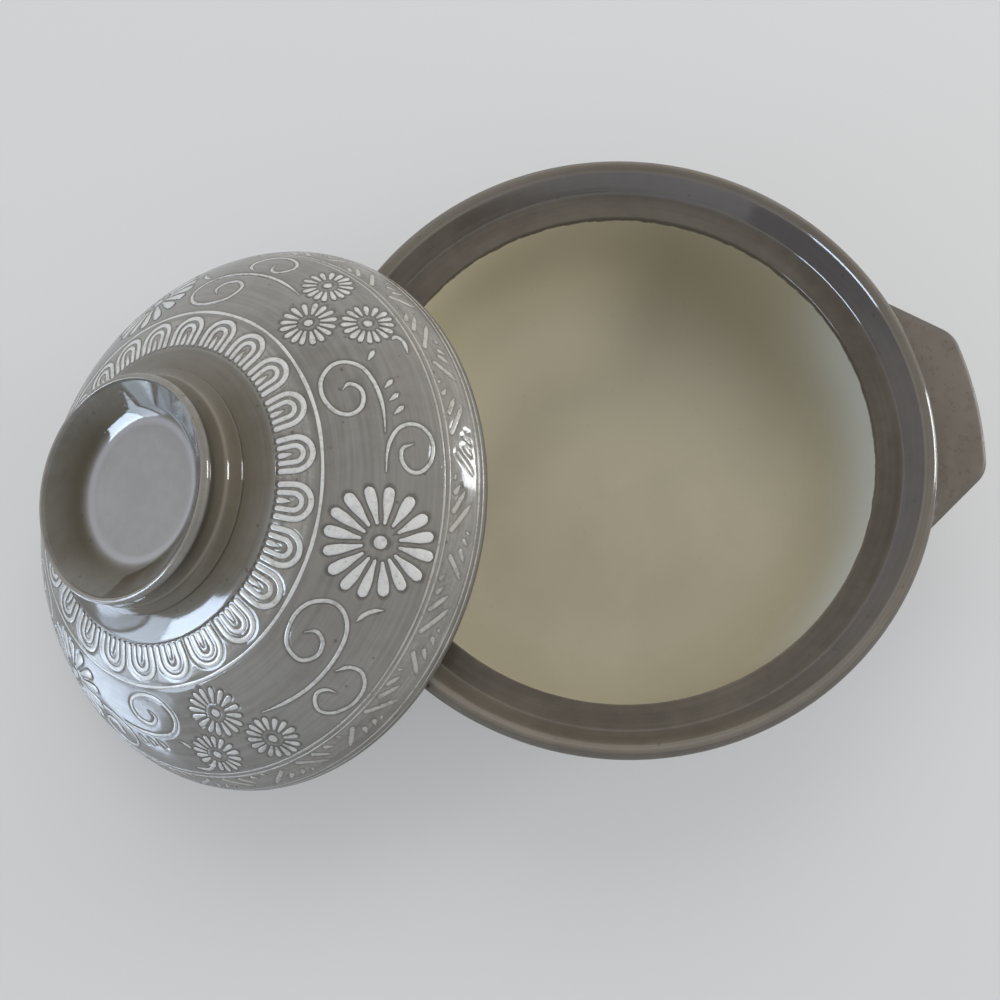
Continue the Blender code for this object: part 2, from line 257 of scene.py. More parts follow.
def softened(corners, steps):
    """A profile whose inner corners are rounded by the radius given with each."""
    points = [corners[0][:2]]
    for before, (x, y, radius), after in zip(corners, corners[1:-1], corners[2:]):
        here = np.array((x, y))
        back = np.array(before[:2]) - here
        ahead = np.array(after[:2]) - here
        reach = min(np.linalg.norm(back), np.linalg.norm(ahead)) * 0.5
        leg = min(radius, reach)
        start = here + back / np.linalg.norm(back) * leg
        end = here + ahead / np.linalg.norm(ahead) * leg
        for t in np.linspace(0, 1, steps + 1):
            points.append(tuple((1 - t) ** 2 * start + 2 * t * (1 - t) * here + t * t * end))
    points.append(corners[-1][:2])
    return points


def refined(points, step):
    """The same polyline with no stretch longer than step."""
    result = [points[0]]
    for start, end in zip(points, points[1:]):
        span = math.hypot(end[0] - start[0], end[1] - start[1])
        parts = max(1, math.ceil(span / step))
        for i in range(1, parts + 1):
            result.append(tuple(np.array(start) + (np.array(end) - np.array(start)) * i / parts))
    return result


# Masks along a profile

def smooth_step(values, low, high):
    """Nothing up to low, one from high on, and smooth between."""
    t = np.clip((values - low) / (high - low), 0.0, 1.0)
    return t * t * (3 - 2 * t)


def between(values, low, high, fall, end):
    """One from high to fall, and nothing below low and beyond end."""
    return smooth_step(values, low, high) * (1 - smooth_step(values, fall, end))


def bump_at(points, centre, width):
    """One near a point of a profile, falling to nothing at the given distance."""
    away = np.hypot(points[:, 0] - centre[0], points[:, 1] - centre[1])
    return 1 - smooth_step(away, 0.2 * width, width)


# Meshes

def new_object(name, vertices, faces, body, place=None):
    """A smooth mesh that rides on a body; place is the frame that its points are given in."""
    mesh = bpy.data.meshes.new(name)
    mesh.from_pydata(vertices, [], faces)
    if place is not None:
        mesh.transform(place)
    mesh.shade_smooth()
    mesh.update()
    piece = bpy.data.objects.new(name, mesh)
    bpy.context.scene.collection.objects.link(piece)
    bpy.context.view_layer.update()
    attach(piece, body)
    return piece


def ring_faces(rows, around):
    """Quads between rows of points that close round the axis."""
    start = np.arange(rows - 1)[:, None] * around + np.arange(around)[None, :]
    following = np.arange(rows - 1)[:, None] * around + (np.arange(around)[None, :] + 1) % around
    quads = np.stack((start, start + around, following + around, following), axis=-1)
    return quads.reshape(-1, 4).tolist()


def turned_vertices(profile, around, lift=None):
    """Rows of points round Z; lift moves each point along the profile's outward normal."""
    rows = np.array(profile)
    angles = np.arange(around) * (math.tau / around)
    radius = np.repeat(rows[:, :1], around, axis=1)
    height = np.repeat(rows[:, 1:], around, axis=1)
    if lift is not None:
        along = np.gradient(rows, axis=0)
        along /= np.linalg.norm(along, axis=1)[:, None]
        radius = radius - along[:, 1:] * lift
        height = height + along[:, :1] * lift
    return np.stack((radius * np.cos(angles), radius * np.sin(angles), height), axis=-1)


def closed_turning(points, first, last):
    """Rows of points round Z, closed at each end by a point on the axis at the height given."""
    rows, around = points.shape[:2]
    vertices = np.vstack((points.reshape(-1, 3), [(0, 0, first)], [(0, 0, last)]))
    faces = ring_faces(rows, around)
    tip = rows * around
    final = (rows - 1) * around
    for i in range(around):
        j = (i + 1) % around
        faces.append((tip, i, j))
        faces.append((tip + 1, final + j, final + i))
    return vertices.tolist(), faces


def turned_piece(name, profile, around, body, lift=None):
    """A closed turned mesh; its profile goes clockwise from the axis and back to it."""
    points = turned_vertices(profile[1:-1], around, lift)
    vertices, faces = closed_turning(points, profile[0][1], profile[-1][1])
    return new_object(name, vertices, faces, body)


def store_values(piece, name, values):
    """Keeps one number for each point of a mesh, for its material to read."""
    layer = piece.data.attributes.new(name, "FLOAT", "POINT")
    layer.data.foreach_set("value", np.asarray(values, dtype=np.float32))


def set_values(piece, name, rows, around):
    """Stores one number for each row of a turned piece, or for each of its points."""
    values = np.asarray(rows, dtype=np.float32)
    if values.ndim == 1:
        values = np.repeat(values[:, None], around, axis=1)
    store_values(piece, name, np.append(values.reshape(-1), (values[0].mean(), values[-1].mean())))


# Shader networks

def node(tree, kind, inputs=None, **settings):
    """Adds a node; an input is a value, or a socket that is joined to it."""
    made = tree.nodes.new(kind)
    for key, value in settings.items():
        setattr(made, key, value)
    for key, value in (inputs or {}).items():
        if isinstance(value, bpy.types.NodeSocket):
            tree.links.new(value, made.inputs[key])
        else:
            made.inputs[key].default_value = value
    return made


def maths(tree, operation, *values, clamp=False):
    """One step of arithmetic; each value is a number or a socket."""
    made = node(tree, "ShaderNodeMath", dict(enumerate(values)), operation=operation, use_clamp=clamp)
    return made.outputs[0]


def times(tree, first, second):
    return maths(tree, "MULTIPLY", first, second)


def plus(tree, first, second):
    return maths(tree, "ADD", first, second)


def minus(tree, first, second):
    return maths(tree, "SUBTRACT", first, second)


def mixed(tree, share, first, second):
    """A mix of two colours; each is a socket or three numbers."""
    made = node(tree, "ShaderNodeMix", data_type="RGBA")
    for socket, value in ((made.inputs[0], share), (made.inputs[6], first), (made.inputs[7], second)):
        if isinstance(value, bpy.types.NodeSocket):
            tree.links.new(value, socket)
        elif isinstance(value, (int, float)):
            socket.default_value = value
        else:
            socket.default_value = (*value, 1.0)
    return made.outputs[2]


def coated(tree, base, mask, share, over):
    """A colour with another laid over it where a mask is, by at most a share."""
    return mixed(tree, times(tree, mask, share), base, over)


def toned(tree, first, second, share):
    """Two masks added up, the first by its share and the second by the rest."""
    return plus(tree, times(tree, first, share), times(tree, second, 1 - share))


def ranged(tree, value, low, high, out_low=0.0, out_high=1.0, smooth=True):
    """A value taken from one range to another."""
    made = node(tree, "ShaderNodeMapRange", {
        "Value": value, "From Min": low, "From Max": high, "To Min": out_low, "To Max": out_high,
    }, interpolation_type="SMOOTHSTEP" if smooth else "LINEAR")
    return made.outputs[0]


def effect(name, inputs, outputs, build):
    """A node group with named inputs and outputs, built once."""
    tree = bpy.data.node_groups.get(name)
    if tree:
        return tree
    tree = bpy.data.node_groups.new(name, "ShaderNodeTree")
    for label, kind, default in inputs:
        socket = tree.interface.new_socket(label, in_out="INPUT", socket_type=kind)
        if default is not None:
            socket.default_value = default
    for label, kind in outputs:
        tree.interface.new_socket(label, in_out="OUTPUT", socket_type=kind)
    entry = tree.nodes.new("NodeGroupInput").outputs
    build(tree, entry, tree.nodes.new("NodeGroupOutput").inputs)
    return tree


def use(tree, group, **inputs):
    """Places a group in a material, with spaces in its inputs' names written as underscores."""
    made = node(tree, "ShaderNodeGroup", node_tree=group)
    for key, value in inputs.items():
        socket = made.inputs[key.replace("_", " ")]
        if isinstance(value, bpy.types.NodeSocket):
            tree.links.new(value, socket)
        else:
            socket.default_value = value
    return made.outputs


def turning_streaks():
    """Fine lines that a brush or a thumb leaves round a turned piece."""
    def build(tree, entry, out):
        apart = node(tree, "ShaderNodeSeparateXYZ", {0: entry["Coords"]}).outputs
        flat = node(tree, "ShaderNodeCombineXYZ", {0: apart[0], 1: apart[1], 2: 0.0}).outputs[0]
        radius = node(tree, "ShaderNodeVectorMath", {0: flat}, operation="LENGTH").outputs["Value"]
        angle = maths(tree, "ARCTAN2", apart[1], apart[0])
        east = times(tree, maths(tree, "COSINE", angle), entry["Drift"])
        north = times(tree, maths(tree, "SINE", angle), entry["Drift"])
        where = node(tree, "ShaderNodeCombineXYZ", {
            0: times(tree, radius, entry["Fineness"]),
            1: times(tree, apart[2], entry["Fineness"]),
            2: east,
        }).outputs[0]
        noise = node(tree, "ShaderNodeTexNoise", {
            "Vector": where, "W": north, "Scale": 1.0, "Detail": 3.0, "Roughness": 0.62,
        }, noise_dimensions="4D")
        tree.links.new(ranged(tree, noise.outputs[0], 0.3, 0.7), out["Streaks"])
    return effect("Turning streaks", [
        ("Coords", "NodeSocketVector", None),
        ("Fineness", "NodeSocketFloat", 700.0),
        ("Drift", "NodeSocketFloat", 1.4),
    ], [("Streaks", "NodeSocketFloat")], build)


def glaze_clouds():
    """Soft clouds of thick and thin glaze at two scales."""
    def build(tree, entry, out):
        wide = node(tree, "ShaderNodeTexNoise", {
            "Vector": entry["Coords"], "Scale": entry["Scale"], "Detail": 3.0, "Roughness": 0.5,
            "Distortion": 0.6,
        })
        fine = node(tree, "ShaderNodeTexNoise", {
            "Vector": entry["Coords"], "Scale": times(tree, entry["Scale"], 9.0),
            "Detail": 4.0, "Roughness": 0.6,
        })
        joined = node(tree, "ShaderNodeMix", {
            0: entry["Fine share"], 2: wide.outputs[0], 3: fine.outputs[0],
        }).outputs[0]
        tree.links.new(ranged(tree, joined, 0.32, 0.68), out["Clouds"])
        tree.links.new(fine.outputs[0], out["Fine"])
    return effect("Glaze clouds", [
        ("Coords", "NodeSocketVector", None),
        ("Scale", "NodeSocketFloat", 18.0),
        ("Fine share", "NodeSocketFloat", 0.35),
    ], [("Clouds", "NodeSocketFloat"), ("Fine", "NodeSocketFloat")], build)


def iron_specks():
    """Small dark iron spots, of which only some cells hold one."""
    def build(tree, entry, out):
        cells = node(tree, "ShaderNodeTexVoronoi", {
            "Vector": entry["Coords"], "Scale": entry["Scale"], "Randomness": 1.0,
        })
        chance = node(tree, "ShaderNodeSeparateColor", {0: cells.outputs["Color"]}).outputs[0]
        size = times(tree, chance, entry["Size"])
        spot = minus(tree, size, cells.outputs["Distance"])
        chosen = maths(tree, "GREATER_THAN", chance, entry["Rarity"])
        tree.links.new(times(tree, ranged(tree, spot, 0.0, 0.06), chosen), out["Specks"])
    return effect("Iron specks", [
        ("Coords", "NodeSocketVector", None),
        ("Scale", "NodeSocketFloat", 260.0),
        ("Size", "NodeSocketFloat", 0.22),
        ("Rarity", "NodeSocketFloat", 0.8),
    ], [("Specks", "NodeSocketFloat")], build)


def glaze_skin():
    """Height of a glaze's skin: slow dimples, and faint pits."""
    def build(tree, entry, out):
        slow = node(tree, "ShaderNodeTexNoise", {
            "Vector": entry["Coords"], "Scale": entry["Scale"], "Detail": 2.0,
        })
        pits = node(tree, "ShaderNodeTexNoise", {
            "Vector": entry["Coords"], "Scale": times(tree, entry["Scale"], 7.0), "Detail": 2.0,
        })
        low = ranged(tree, pits.outputs[0], 0.25, 0.4, -0.6, 0.0)
        tree.links.new(plus(tree, slow.outputs[0], low), out["Height"])
    return effect("Glaze skin", [
        ("Coords", "NodeSocketVector", None), ("Scale", "NodeSocketFloat", 130.0),
    ], [("Height", "NodeSocketFloat")], build)


def start_material(name, place=None):
    """An empty glossy material: its tree, its shader and its coordinates, in the frame of a place."""
    made = bpy.data.materials.new(name)
    made.use_nodes = True
    tree = made.node_tree
    shader = tree.nodes["Principled BSDF"]
    shader.inputs["IOR"].default_value = 1.52
    coords = node(tree, "ShaderNodeTexCoord").outputs["Object"]
    if place is not None:
        back = place.inverted()
        coords = node(tree, "ShaderNodeMapping", {
            "Vector": coords, "Location": tuple(back.translation), "Rotation": tuple(back.to_euler("XYZ")),
        }, vector_type="POINT").outputs[0]
    return made, tree, shader, coords


def attribute(tree, name):
    """The numbers that a mesh keeps for its points."""
    return node(tree, "ShaderNodeAttribute", attribute_name=name).outputs["Fac"]


def finish_material(tree, shader, base, roughness, height, strength, distance):
    """Joins colour, roughness and a bump to the shader."""
    tree.links.new(base, shader.inputs["Base Color"])
    tree.links.new(roughness, shader.inputs["Roughness"])
    bump = node(tree, "ShaderNodeBump", {"Height": height, "Strength": strength, "Distance": distance})
    tree.links.new(bump.outputs[0], shader.inputs["Normal"])


def lid_glaze(colours):
    """Clear glaze over brushed grey clay, darker where it pools in the dents."""
    made, tree, shader, coords = start_material("lid_clear_glaze", LID_PLACE)
    streaks = use(tree, turning_streaks(), Coords=coords, Fineness=520.0, Drift=1.6)["Streaks"]
    clouds = use(tree, glaze_clouds(), Coords=coords, Scale=14.0)["Clouds"]
    specks = use(tree, iron_specks(), Coords=coords, Scale=230.0, Rarity=0.86)["Specks"]
    tone = toned(tree, streaks, clouds, 0.42)
    base = mixed(tree, tone, colours.clay_dark, colours.clay)
    base = coated(tree, base, attribute(tree, "skirt"), 0.82, colours.brown)
    base = coated(tree, base, attribute(tree, "dent"), 0.52, colours.glaze_pool_and_shade)
    patches = use(tree, glaze_clouds(), Coords=coords, Scale=70.0, Fine_share=0.5)["Clouds"]
    brushed = times(tree, plus(tree, streaks, 0.5), plus(tree, patches, 0.25))
    smeared = times(tree, attribute(tree, "wash"), brushed)
    base = mixed(tree, smeared, base, colours.slip_thin)
    # the rolled edge is dark and dry and carries painted shade; the clay round the hatching carries a little
    # painted shade
    edge = attribute(tree, "edge")
    base = coated(tree, base, edge, 0.9, colours.glaze_pool_and_shade)
    base = coated(tree, base, specks, 0.5, colours.glaze_pool_and_shade)
    wiped = times(tree, maths(tree, "POWER", edge, 3.0), 0.4)
    rough = plus(tree, ranged(tree, tone, 0.0, 1.0, 0.07, 0.13), wiped)
    skin = use(tree, glaze_skin(), Coords=coords, Scale=120.0)["Height"]
    height = plus(tree, times(tree, streaks, 0.5), skin)
    finish_material(tree, shader, base, rough, height, strength=0.2, distance=0.00010)
    return made


def slip_glaze(colours, name, pale, worn, wear):
    """White slip under the same glaze, mottled where the brush left it thin."""
    made, tree, shader, coords = start_material(name, LID_PLACE)
    streaks = use(tree, turning_streaks(), Coords=coords, Fineness=520.0, Drift=1.6)["Streaks"]
    cloud = use(tree, glaze_clouds(), Coords=coords, Scale=60.0, Fine_share=0.6)
    specks = use(tree, iron_specks(), Coords=coords, Scale=520.0, Size=0.3, Rarity=0.7)["Specks"]
    spread = times(tree, attribute(tree, "thin"), 0.55)
    patchy = plus(tree, spread, ranged(tree, cloud["Clouds"], 0.5, 0.0, smooth=False))
    thin = maths(tree, "MULTIPLY", patchy, wear, clamp=True)
    base = mixed(tree, thin, pale, worn)
    base = coated(tree, base, specks, 0.35, colours.clay)
    base = coated(tree, base, streaks, 0.12, colours.clay)
    rough = ranged(tree, cloud["Fine"], 0.3, 0.7, 0.12, 0.2)
    skin = use(tree, glaze_skin(), Coords=coords, Scale=260.0)["Height"]
    finish_material(tree, shader, base, rough, skin, strength=0.3, distance=0.00008)
    return made


def knob_glaze(colours):
    """The lid's glaze, thicker and browner on the knob and its skirt."""
    made, tree, shader, coords = start_material("knob_clear_glaze", LID_PLACE)
    streaks = use(tree, turning_streaks(), Coords=coords, Fineness=430.0, Drift=1.0)["Streaks"]
    clouds = use(tree, glaze_clouds(), Coords=coords, Scale=22.0)["Clouds"]
    specks = use(tree, iron_specks(), Coords=coords, Scale=240.0, Rarity=0.88)["Specks"]
    tone = toned(tree, streaks, clouds, 0.15)
    base = mixed(tree, tone, colours.clay_dark, colours.clay)
    floor = attribute(tree, "floor")
    base = mixed(tree, floor, base, colours.dish)
    base = coated(tree, base, attribute(tree, "neck"), 0.8, colours.brown)
    # painted shade over pooled glaze in the knob's creases
    base = coated(tree, base, attribute(tree, "crease_pool_and_shade"), 0.75, colours.glaze_pool_and_shade)
    base = coated(tree, base, attribute(tree, "wall"), 0.9, colours.olive)
    base = coated(tree, base, attribute(tree, "crest"), 0.45, colours.rim_pale)
    spotted = times(tree, specks, minus(tree, 0.5, times(tree, floor, 0.8)))
    base = mixed(tree, spotted, base, colours.glaze_pool_and_shade)
    rough = ranged(tree, tone, 0.0, 1.0, 0.05, 0.10)
    skin = use(tree, glaze_skin(), Coords=coords, Scale=110.0)["Height"]
    finish_material(tree, shader, base, rough, skin, strength=0.2, distance=0.00010)
    return made


def bowl_glaze(tree, coords, colours, facing, radius, height):
    """The celadon's colour; facing masks the side of the bowl that lies towards a direction."""
    # smoke in faint patches all over, fewer at the back right; there a wide dark zone high on the wall is
    # partly smoke and partly painted shade, and a painted shadow of the rim lies under the rim at the back
    smoke = use(tree, glaze_clouds(), Coords=coords, Scale=9.0, Fine_share=0.15)["Clouds"]
    calm = minus(tree, 0.45, times(tree, facing(64, 0.55, 0.95), 0.34))
    brow = ranged(tree, radius, 0.101, 0.112)
    # partly smoke, partly painted shade high on the wall at the back right
    near = times(tree, facing(46, 0.60, 0.98), ranged(tree, radius, 0.072, 0.106))
    near = times(tree, near, minus(tree, 0.5, times(tree, brow, 0.1)))
    # painted shadow of the rim on the wall at the back
    above = times(tree, times(tree, facing(92, 0.60, 0.95), brow), 0.3)
    share = plus(tree, times(tree, smoke, calm), plus(tree, near, above))
    share = times(tree, share, 0.62)
    bowl = mixed(tree, share, colours.bowl, colours.bowl_smoke_and_shade)
    # painted light on the wall at the back left, and a painted reflection of the left window on the wall at
    # the right, under the ledge
    light = times(tree, facing(122, 0.55, 0.95), ranged(tree, radius, 0.05, 0.09))
    light = times(tree, light, minus(tree, 0.72, times(tree, brow, 0.38)))
    bowl = mixed(tree, light, bowl, colours.bowl_lit_side)
    # painted reflection of the left window on the wall at the right
    thin = times(tree, facing(-14, 0.55, 0.95), ranged(tree, height, 0.025, 0.078))
    return coated(tree, bowl, thin, 0.95, colours.bowl_window_sheen)


def pot_glaze(colours, sizes):
    """Brown glaze on the rim and outside, pale celadon in the bowl, bare clay under the foot."""
    made, tree, shader, coords = start_material("pot_glazes")
    apart = node(tree, "ShaderNodeSeparateXYZ", {0: coords}).outputs
    height = apart[2]
    flat = node(tree, "ShaderNodeCombineXYZ", {0: apart[0], 1: apart[1], 2: 0.0}).outputs[0]
    radius = node(tree, "ShaderNodeVectorMath", {0: flat}, operation="LENGTH").outputs["Value"]
    ahead = node(tree, "ShaderNodeVectorMath", {0: flat}, operation="NORMALIZE").outputs[0]

    def facing(turn, low, high):
        """One where the wall lies towards a direction, in degrees from +X."""
        aim = (math.cos(math.radians(turn)), math.sin(math.radians(turn)), 0.0)
        toward = node(tree, "ShaderNodeVectorMath", {0: ahead, 1: aim}, operation="DOT_PRODUCT")
        return ranged(tree, toward.outputs["Value"], low, high)

    streaks = use(tree, turning_streaks(), Coords=coords, Fineness=420.0, Drift=1.2)["Streaks"]
    cloud = use(tree, glaze_clouds(), Coords=coords, Scale=13.0)
    specks = use(tree, iron_specks(), Coords=coords, Scale=200.0, Rarity=0.84)["Specks"]
    tone = toned(tree, streaks, cloud["Clouds"], 0.3)
    rim = mixed(tree, tone, colours.rim_dark, colours.rim)
    rim = coated(tree, rim, attribute(tree, "crest"), 0.55, colours.rim_pale)
    # painted shade over pooled glaze in the rim's creases
    rim = coated(tree, rim, attribute(tree, "crease_pool_and_shade"), 0.7, colours.glaze_pool_and_shade)
    # painted reflection of the left window on the gallery wall that faces it
    blue = times(tree, facing(25, -0.3, 0.7), times(tree, attribute(tree, "wall"), 0.45))
    rim = mixed(tree, blue, rim, colours.rim_window_sheen)
    bowl = bowl_glaze(tree, coords, colours, facing, radius, height)
    # both glazes end in a line that wavers a little
    wobble = times(tree, minus(tree, cloud["Fine"], 0.5), 0.004)
    depth = minus(tree, sizes.glaze_line, plus(tree, height, wobble))
    inside = times(tree, ranged(tree, depth, -0.0006, 0.0010), attribute(tree, "inward"))
    base = mixed(tree, inside, rim, bowl)
    spotted = times(tree, specks, minus(tree, 0.35, times(tree, inside, 0.3)))
    base = mixed(tree, spotted, base, colours.glaze_pool_and_shade)
    foot = minus(tree, sizes.bare_foot, plus(tree, height, wobble))
    bare = times(tree, ranged(tree, foot, -0.0006, 0.0006), minus(tree, 1.0, attribute(tree, "inward")))
    base = mixed(tree, bare, base, colours.bare)
    dull = plus(tree, times(tree, bare, 0.6), times(tree, inside, 0.40))
    rough = plus(tree, ranged(tree, tone, 0.0, 1.0, 0.05, 0.10), dull)
    skin = use(tree, glaze_skin(), Coords=coords, Scale=90.0)["Height"]
    turned = times(tree, streaks, minus(tree, 0.4, times(tree, inside, 0.4)))
    bumps = plus(tree, skin, turned)
    finish_material(tree, shader, base, rough, bumps, strength=0.15, distance=0.00010)
    return made


def lug_glaze(colours):
    """The rim's brown glaze on the lugs, less glossy along their edges and darker there with painted shade.
    """
    made, tree, shader, coords = start_material("lug_glazes")
    cloud = use(tree, glaze_clouds(), Coords=coords, Scale=24.0)
    specks = use(tree, iron_specks(), Coords=coords, Scale=200.0, Rarity=0.8)["Specks"]
    base = mixed(tree, cloud["Clouds"], colours.rim_dark, colours.rim)
    base = mixed(tree, 0.2, base, colours.rim_pale)
    crest = attribute(tree, "crest")
    # painted shade along the lugs' rounded edges
    base = coated(tree, base, crest, 0.7, colours.rim_dark)
    # painted shade over pooled glaze where the lugs meet the wall
    base = coated(tree, base, attribute(tree, "crease_pool_and_shade"), 0.6, colours.glaze_pool_and_shade)
    base = coated(tree, base, specks, 0.15, colours.glaze_pool_and_shade)
    dull = times(tree, crest, 0.25)
    rough = plus(tree, ranged(tree, cloud["Fine"], 0.3, 0.7, 0.26, 0.34), dull)
    skin = use(tree, glaze_skin(), Coords=coords, Scale=100.0)["Height"]
    finish_material(tree, shader, base, rough, skin, strength=0.2, distance=0.00008)
    return made


# Pot

POT_AROUND = 480
# Shares of the belly's reach and drop that lead its curve off the lip and into the foot
BELLY_UPPER = 0.215
BELLY_LOWER = (0.66, 0.20)


def ledge_nose(sizes):
    """Radius and height of the ledge's inner edge."""
    return sizes.gallery_radius - sizes.ledge_width, sizes.rim_height - sizes.gallery_depth


def pot_rows(sizes):
    """The pot's profile in four stretches: its inside, its gallery and lip, its outside and its foot."""
    rim = sizes.rim_height
    lip = sizes.lip_radius
    nose, ledge = ledge_nose(sizes)
    shoulder = (nose - 0.6 * MM, ledge - 4.5 * MM)
    foot = (sizes.base_radius, 3 * MM)
    band = (lip - 0.6 * MM, rim - 10.5 * MM)
    reach = band[0] - foot[0]
    drop = band[1] - foot[1]
    upper = (band[0] - BELLY_UPPER * reach, band[1] - BELLY_UPPER * drop)
    lower = (foot[0] + BELLY_LOWER[0] * reach, foot[1] + BELLY_LOWER[1] * drop)
    floor = (sizes.floor_radius, sizes.floor_thick)
    inside = [(0.0, sizes.floor_thick), (0.4 * floor[0], floor[1]), floor]
    inside += bezier(
        floor,
        (lower[0] - sizes.wall_thick, floor[1] + 2.5 * MM),
        (shoulder[0], floor[1] + 0.5 * (ledge - floor[1])),
        shoulder,
        64,
    )
    gallery = softened([
        (shoulder[0], shoulder[1] + 0.2 * MM, 0),
        (nose, ledge, 0.8 * MM),
        (sizes.gallery_radius - 1.2 * MM, ledge + 0.3 * MM, 1.3 * MM),
        (sizes.gallery_radius + 5.3 * MM, rim - 1.9 * MM, 0.8 * MM),
        (lip - 3.4 * MM, rim, 2.0 * MM),
        (lip - 1.9 * MM, rim - 0.5 * MM, 0.7 * MM),
        (lip - 0.3 * MM, rim - 2.4 * MM, 1.2 * MM),
        (lip, rim - 4.6 * MM, 1.6 * MM),
        (*band, 3 * MM),
        (upper[0], upper[1], 0),
    ], 7)[:-1]
    outside = bezier(band, upper, lower, foot, 70)
    bottom = arc((foot[0] - 3 * MM, 3 * MM), 3 * MM, -15, -90, 6)
    bottom += [(foot[0] - 8 * MM, 0.0), (0.4 * foot[0], 0.0), (0.0, 0.0)]
    return inside, refined(gallery, 0.7 * MM), outside, bottom


def make_pot(scene):
    """The pot in one turned skin, with marks for its glazes, its painted shade and a painted reflection."""
    sizes = scene.donabe_pot
    inside, gallery, outside, bottom = pot_rows(sizes)
    profile = inside + gallery + outside + bottom
    middle = np.array(profile[1:-1])
    inward = np.zeros(len(profile))
    lip_row = len(inside) + int(np.argmax([p[1] for p in gallery]))
    inward[:lip_row] = 1.0
    angles = np.arange(POT_AROUND) * (math.tau / POT_AROUND)
    belly = between(middle[:, 1], 6 * MM, 20 * MM, 78 * MM, 88 * MM) * (1 - inward[1:-1])
    # faint rings from the throwing, on the belly alone
    rings = 0.11 * MM * np.sin(middle[:, 1] / (1.15 * MM)) * np.sin(middle[:, 1] / (7 * MM))
    lift = (belly * rings)[:, None] * (1 + 0.3 * np.sin(3 * angles))[None, :]
    pot = turned_piece("pot_shell", profile, POT_AROUND, "pot", lift=lift)
    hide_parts("pot_body")
    rim = sizes.rim_height
    lip = sizes.lip_radius
    crest = 0.5 * bump_at(middle, (sizes.gallery_radius + 5.4 * MM, rim - 1.7 * MM), 1.2 * MM)
    crest = crest + 0.6 * bump_at(middle, (lip - 3.6 * MM, rim), 3.0 * MM)
    # pooled glaze darkened further as painted shade: at the lip's outer edge and under the ledge's nose
    crease_pool_and_shade = 0.8 * bump_at(middle, (lip - 1.7 * MM, rim - 0.6 * MM), 0.7 * MM)
    nose, ledge = ledge_nose(sizes)
    crease_pool_and_shade = crease_pool_and_shade + 0.7 * bump_at(middle, (nose - 0.3 * MM, ledge - 2.4 * MM), 2.0 * MM)
    wall = smooth_step(middle[:, 0], sizes.gallery_radius - 2 * MM, sizes.gallery_radius)
    wall *= 1 - smooth_step(middle[:, 1], rim - 2.4 * MM, rim - 1.6 * MM)
    wall *= inward[1:-1]
    for name, rows in (("inward", inward[1:-1]), ("crest", crest), ("crease_pool_and_shade", crease_pool_and_shade), ("wall", wall)):
        set_values(pot, name, np.clip(rows, 0, 1), POT_AROUND)
    pot.data.materials.append(pot_glaze(scene.donabe_colours, sizes))


# Lugs

LUG_SPREAD = 17.0  # degrees to each side, where a lug's skin ends in the pot's wall
LUG_DEPTH = 6 * MM  # how far it goes into the wall


def lug_outline(sizes, wall, reach, steps=10):
    """A lug's outline from above, from wall to wall: hollow curves, straight sides and a bowed tip."""
    tip_end = math.sqrt(reach ** 2 - (sizes.lug_tip / 2) ** 2)
    slope = (sizes.lug_root - sizes.lug_tip) / 2 / (tip_end - sizes.lip_radius)
    away = np.array((slope, 1.0)) / math.hypot(slope, 1)
    along = np.array((away[1], -away[0]))
    offset = np.array((sizes.lip_radius, sizes.lug_root / 2)) @ away
    hollow = sizes.lug_hollow
    reached = (wall + hollow) ** 2 - (offset + hollow) ** 2
    centre = (offset + hollow) * away + math.sqrt(reached) * along
    start = math.atan2(-centre[1], -centre[0])
    end = math.atan2(-away[1], -away[0])
    turns = np.linspace(start, end, steps + 1)[:, None]
    root = centre + hollow * np.hstack((np.cos(turns), np.sin(turns)))
    corner = sizes.lug_corner
    middle = (offset - corner) * away + math.sqrt((reach - corner) ** 2 - (offset - corner) ** 2) * along
    end = math.atan2(middle[1], middle[0])
    turns = np.linspace(math.atan2(away[1], away[0]), end, steps + 1)[:, None]
    bend = middle + corner * np.hstack((np.cos(turns), np.sin(turns)))
    side = root[-1] + (bend[0] - root[-1]) * np.linspace(0, 1, 8)[1:-1, None]
    turns = np.linspace(end, 0, 14)[1:, None]
    tip = reach * np.hstack((np.cos(turns), np.sin(turns)))
    half = np.vstack((root, side, bend, tip))
    return np.vstack((half, half[-2::-1] * (1, -1)))


def lug_rows(sizes, wall_at, middle, reach):
    """A lug's skin in rows of plan points with their levels: its underside, its round edge and its top."""
    thick = sizes.lug_thick / 2
    roll = sizes.lug_edge
    sections = []
    for angle in np.linspace(0, math.pi / 2, 8):
        sections.append((roll * (1 - math.cos(angle)), thick - roll + roll * math.sin(angle)))
    sections = [(inset, -level) for inset, level in sections[::-1]] + sections
    rings = []
    for inset, level in sections:
        outline = lug_outline(sizes, wall_at(middle + level), reach)
        along = np.gradient(outline, axis=0)
        along /= np.linalg.norm(along, axis=1)[:, None]
        rings.append(outline + inset * np.column_stack((along[:, 1], -along[:, 0])))
    rows = []
    for plan, (_, level) in zip(rings, sections):
        rows.append((plan, np.full(len(plan), level)))
    spread = np.linspace(0, 1, 26)[1:, None, None]
    columns = len(rings[0])
    for plan, level, first in ((rings[-1], thick, False), (rings[0], -thick, True)):
        inner = np.radians(np.linspace(LUG_SPREAD, -LUG_SPREAD, columns))
        deep = wall_at(middle + level) - LUG_DEPTH
        ends = deep * np.column_stack((np.cos(inner), np.sin(inner)))
        sheet = plan + (ends - plan) * spread
        made = [(points, np.full(columns, level)) for points in sheet]
        rows = made[::-1] + rows if first else rows + made
    return rows


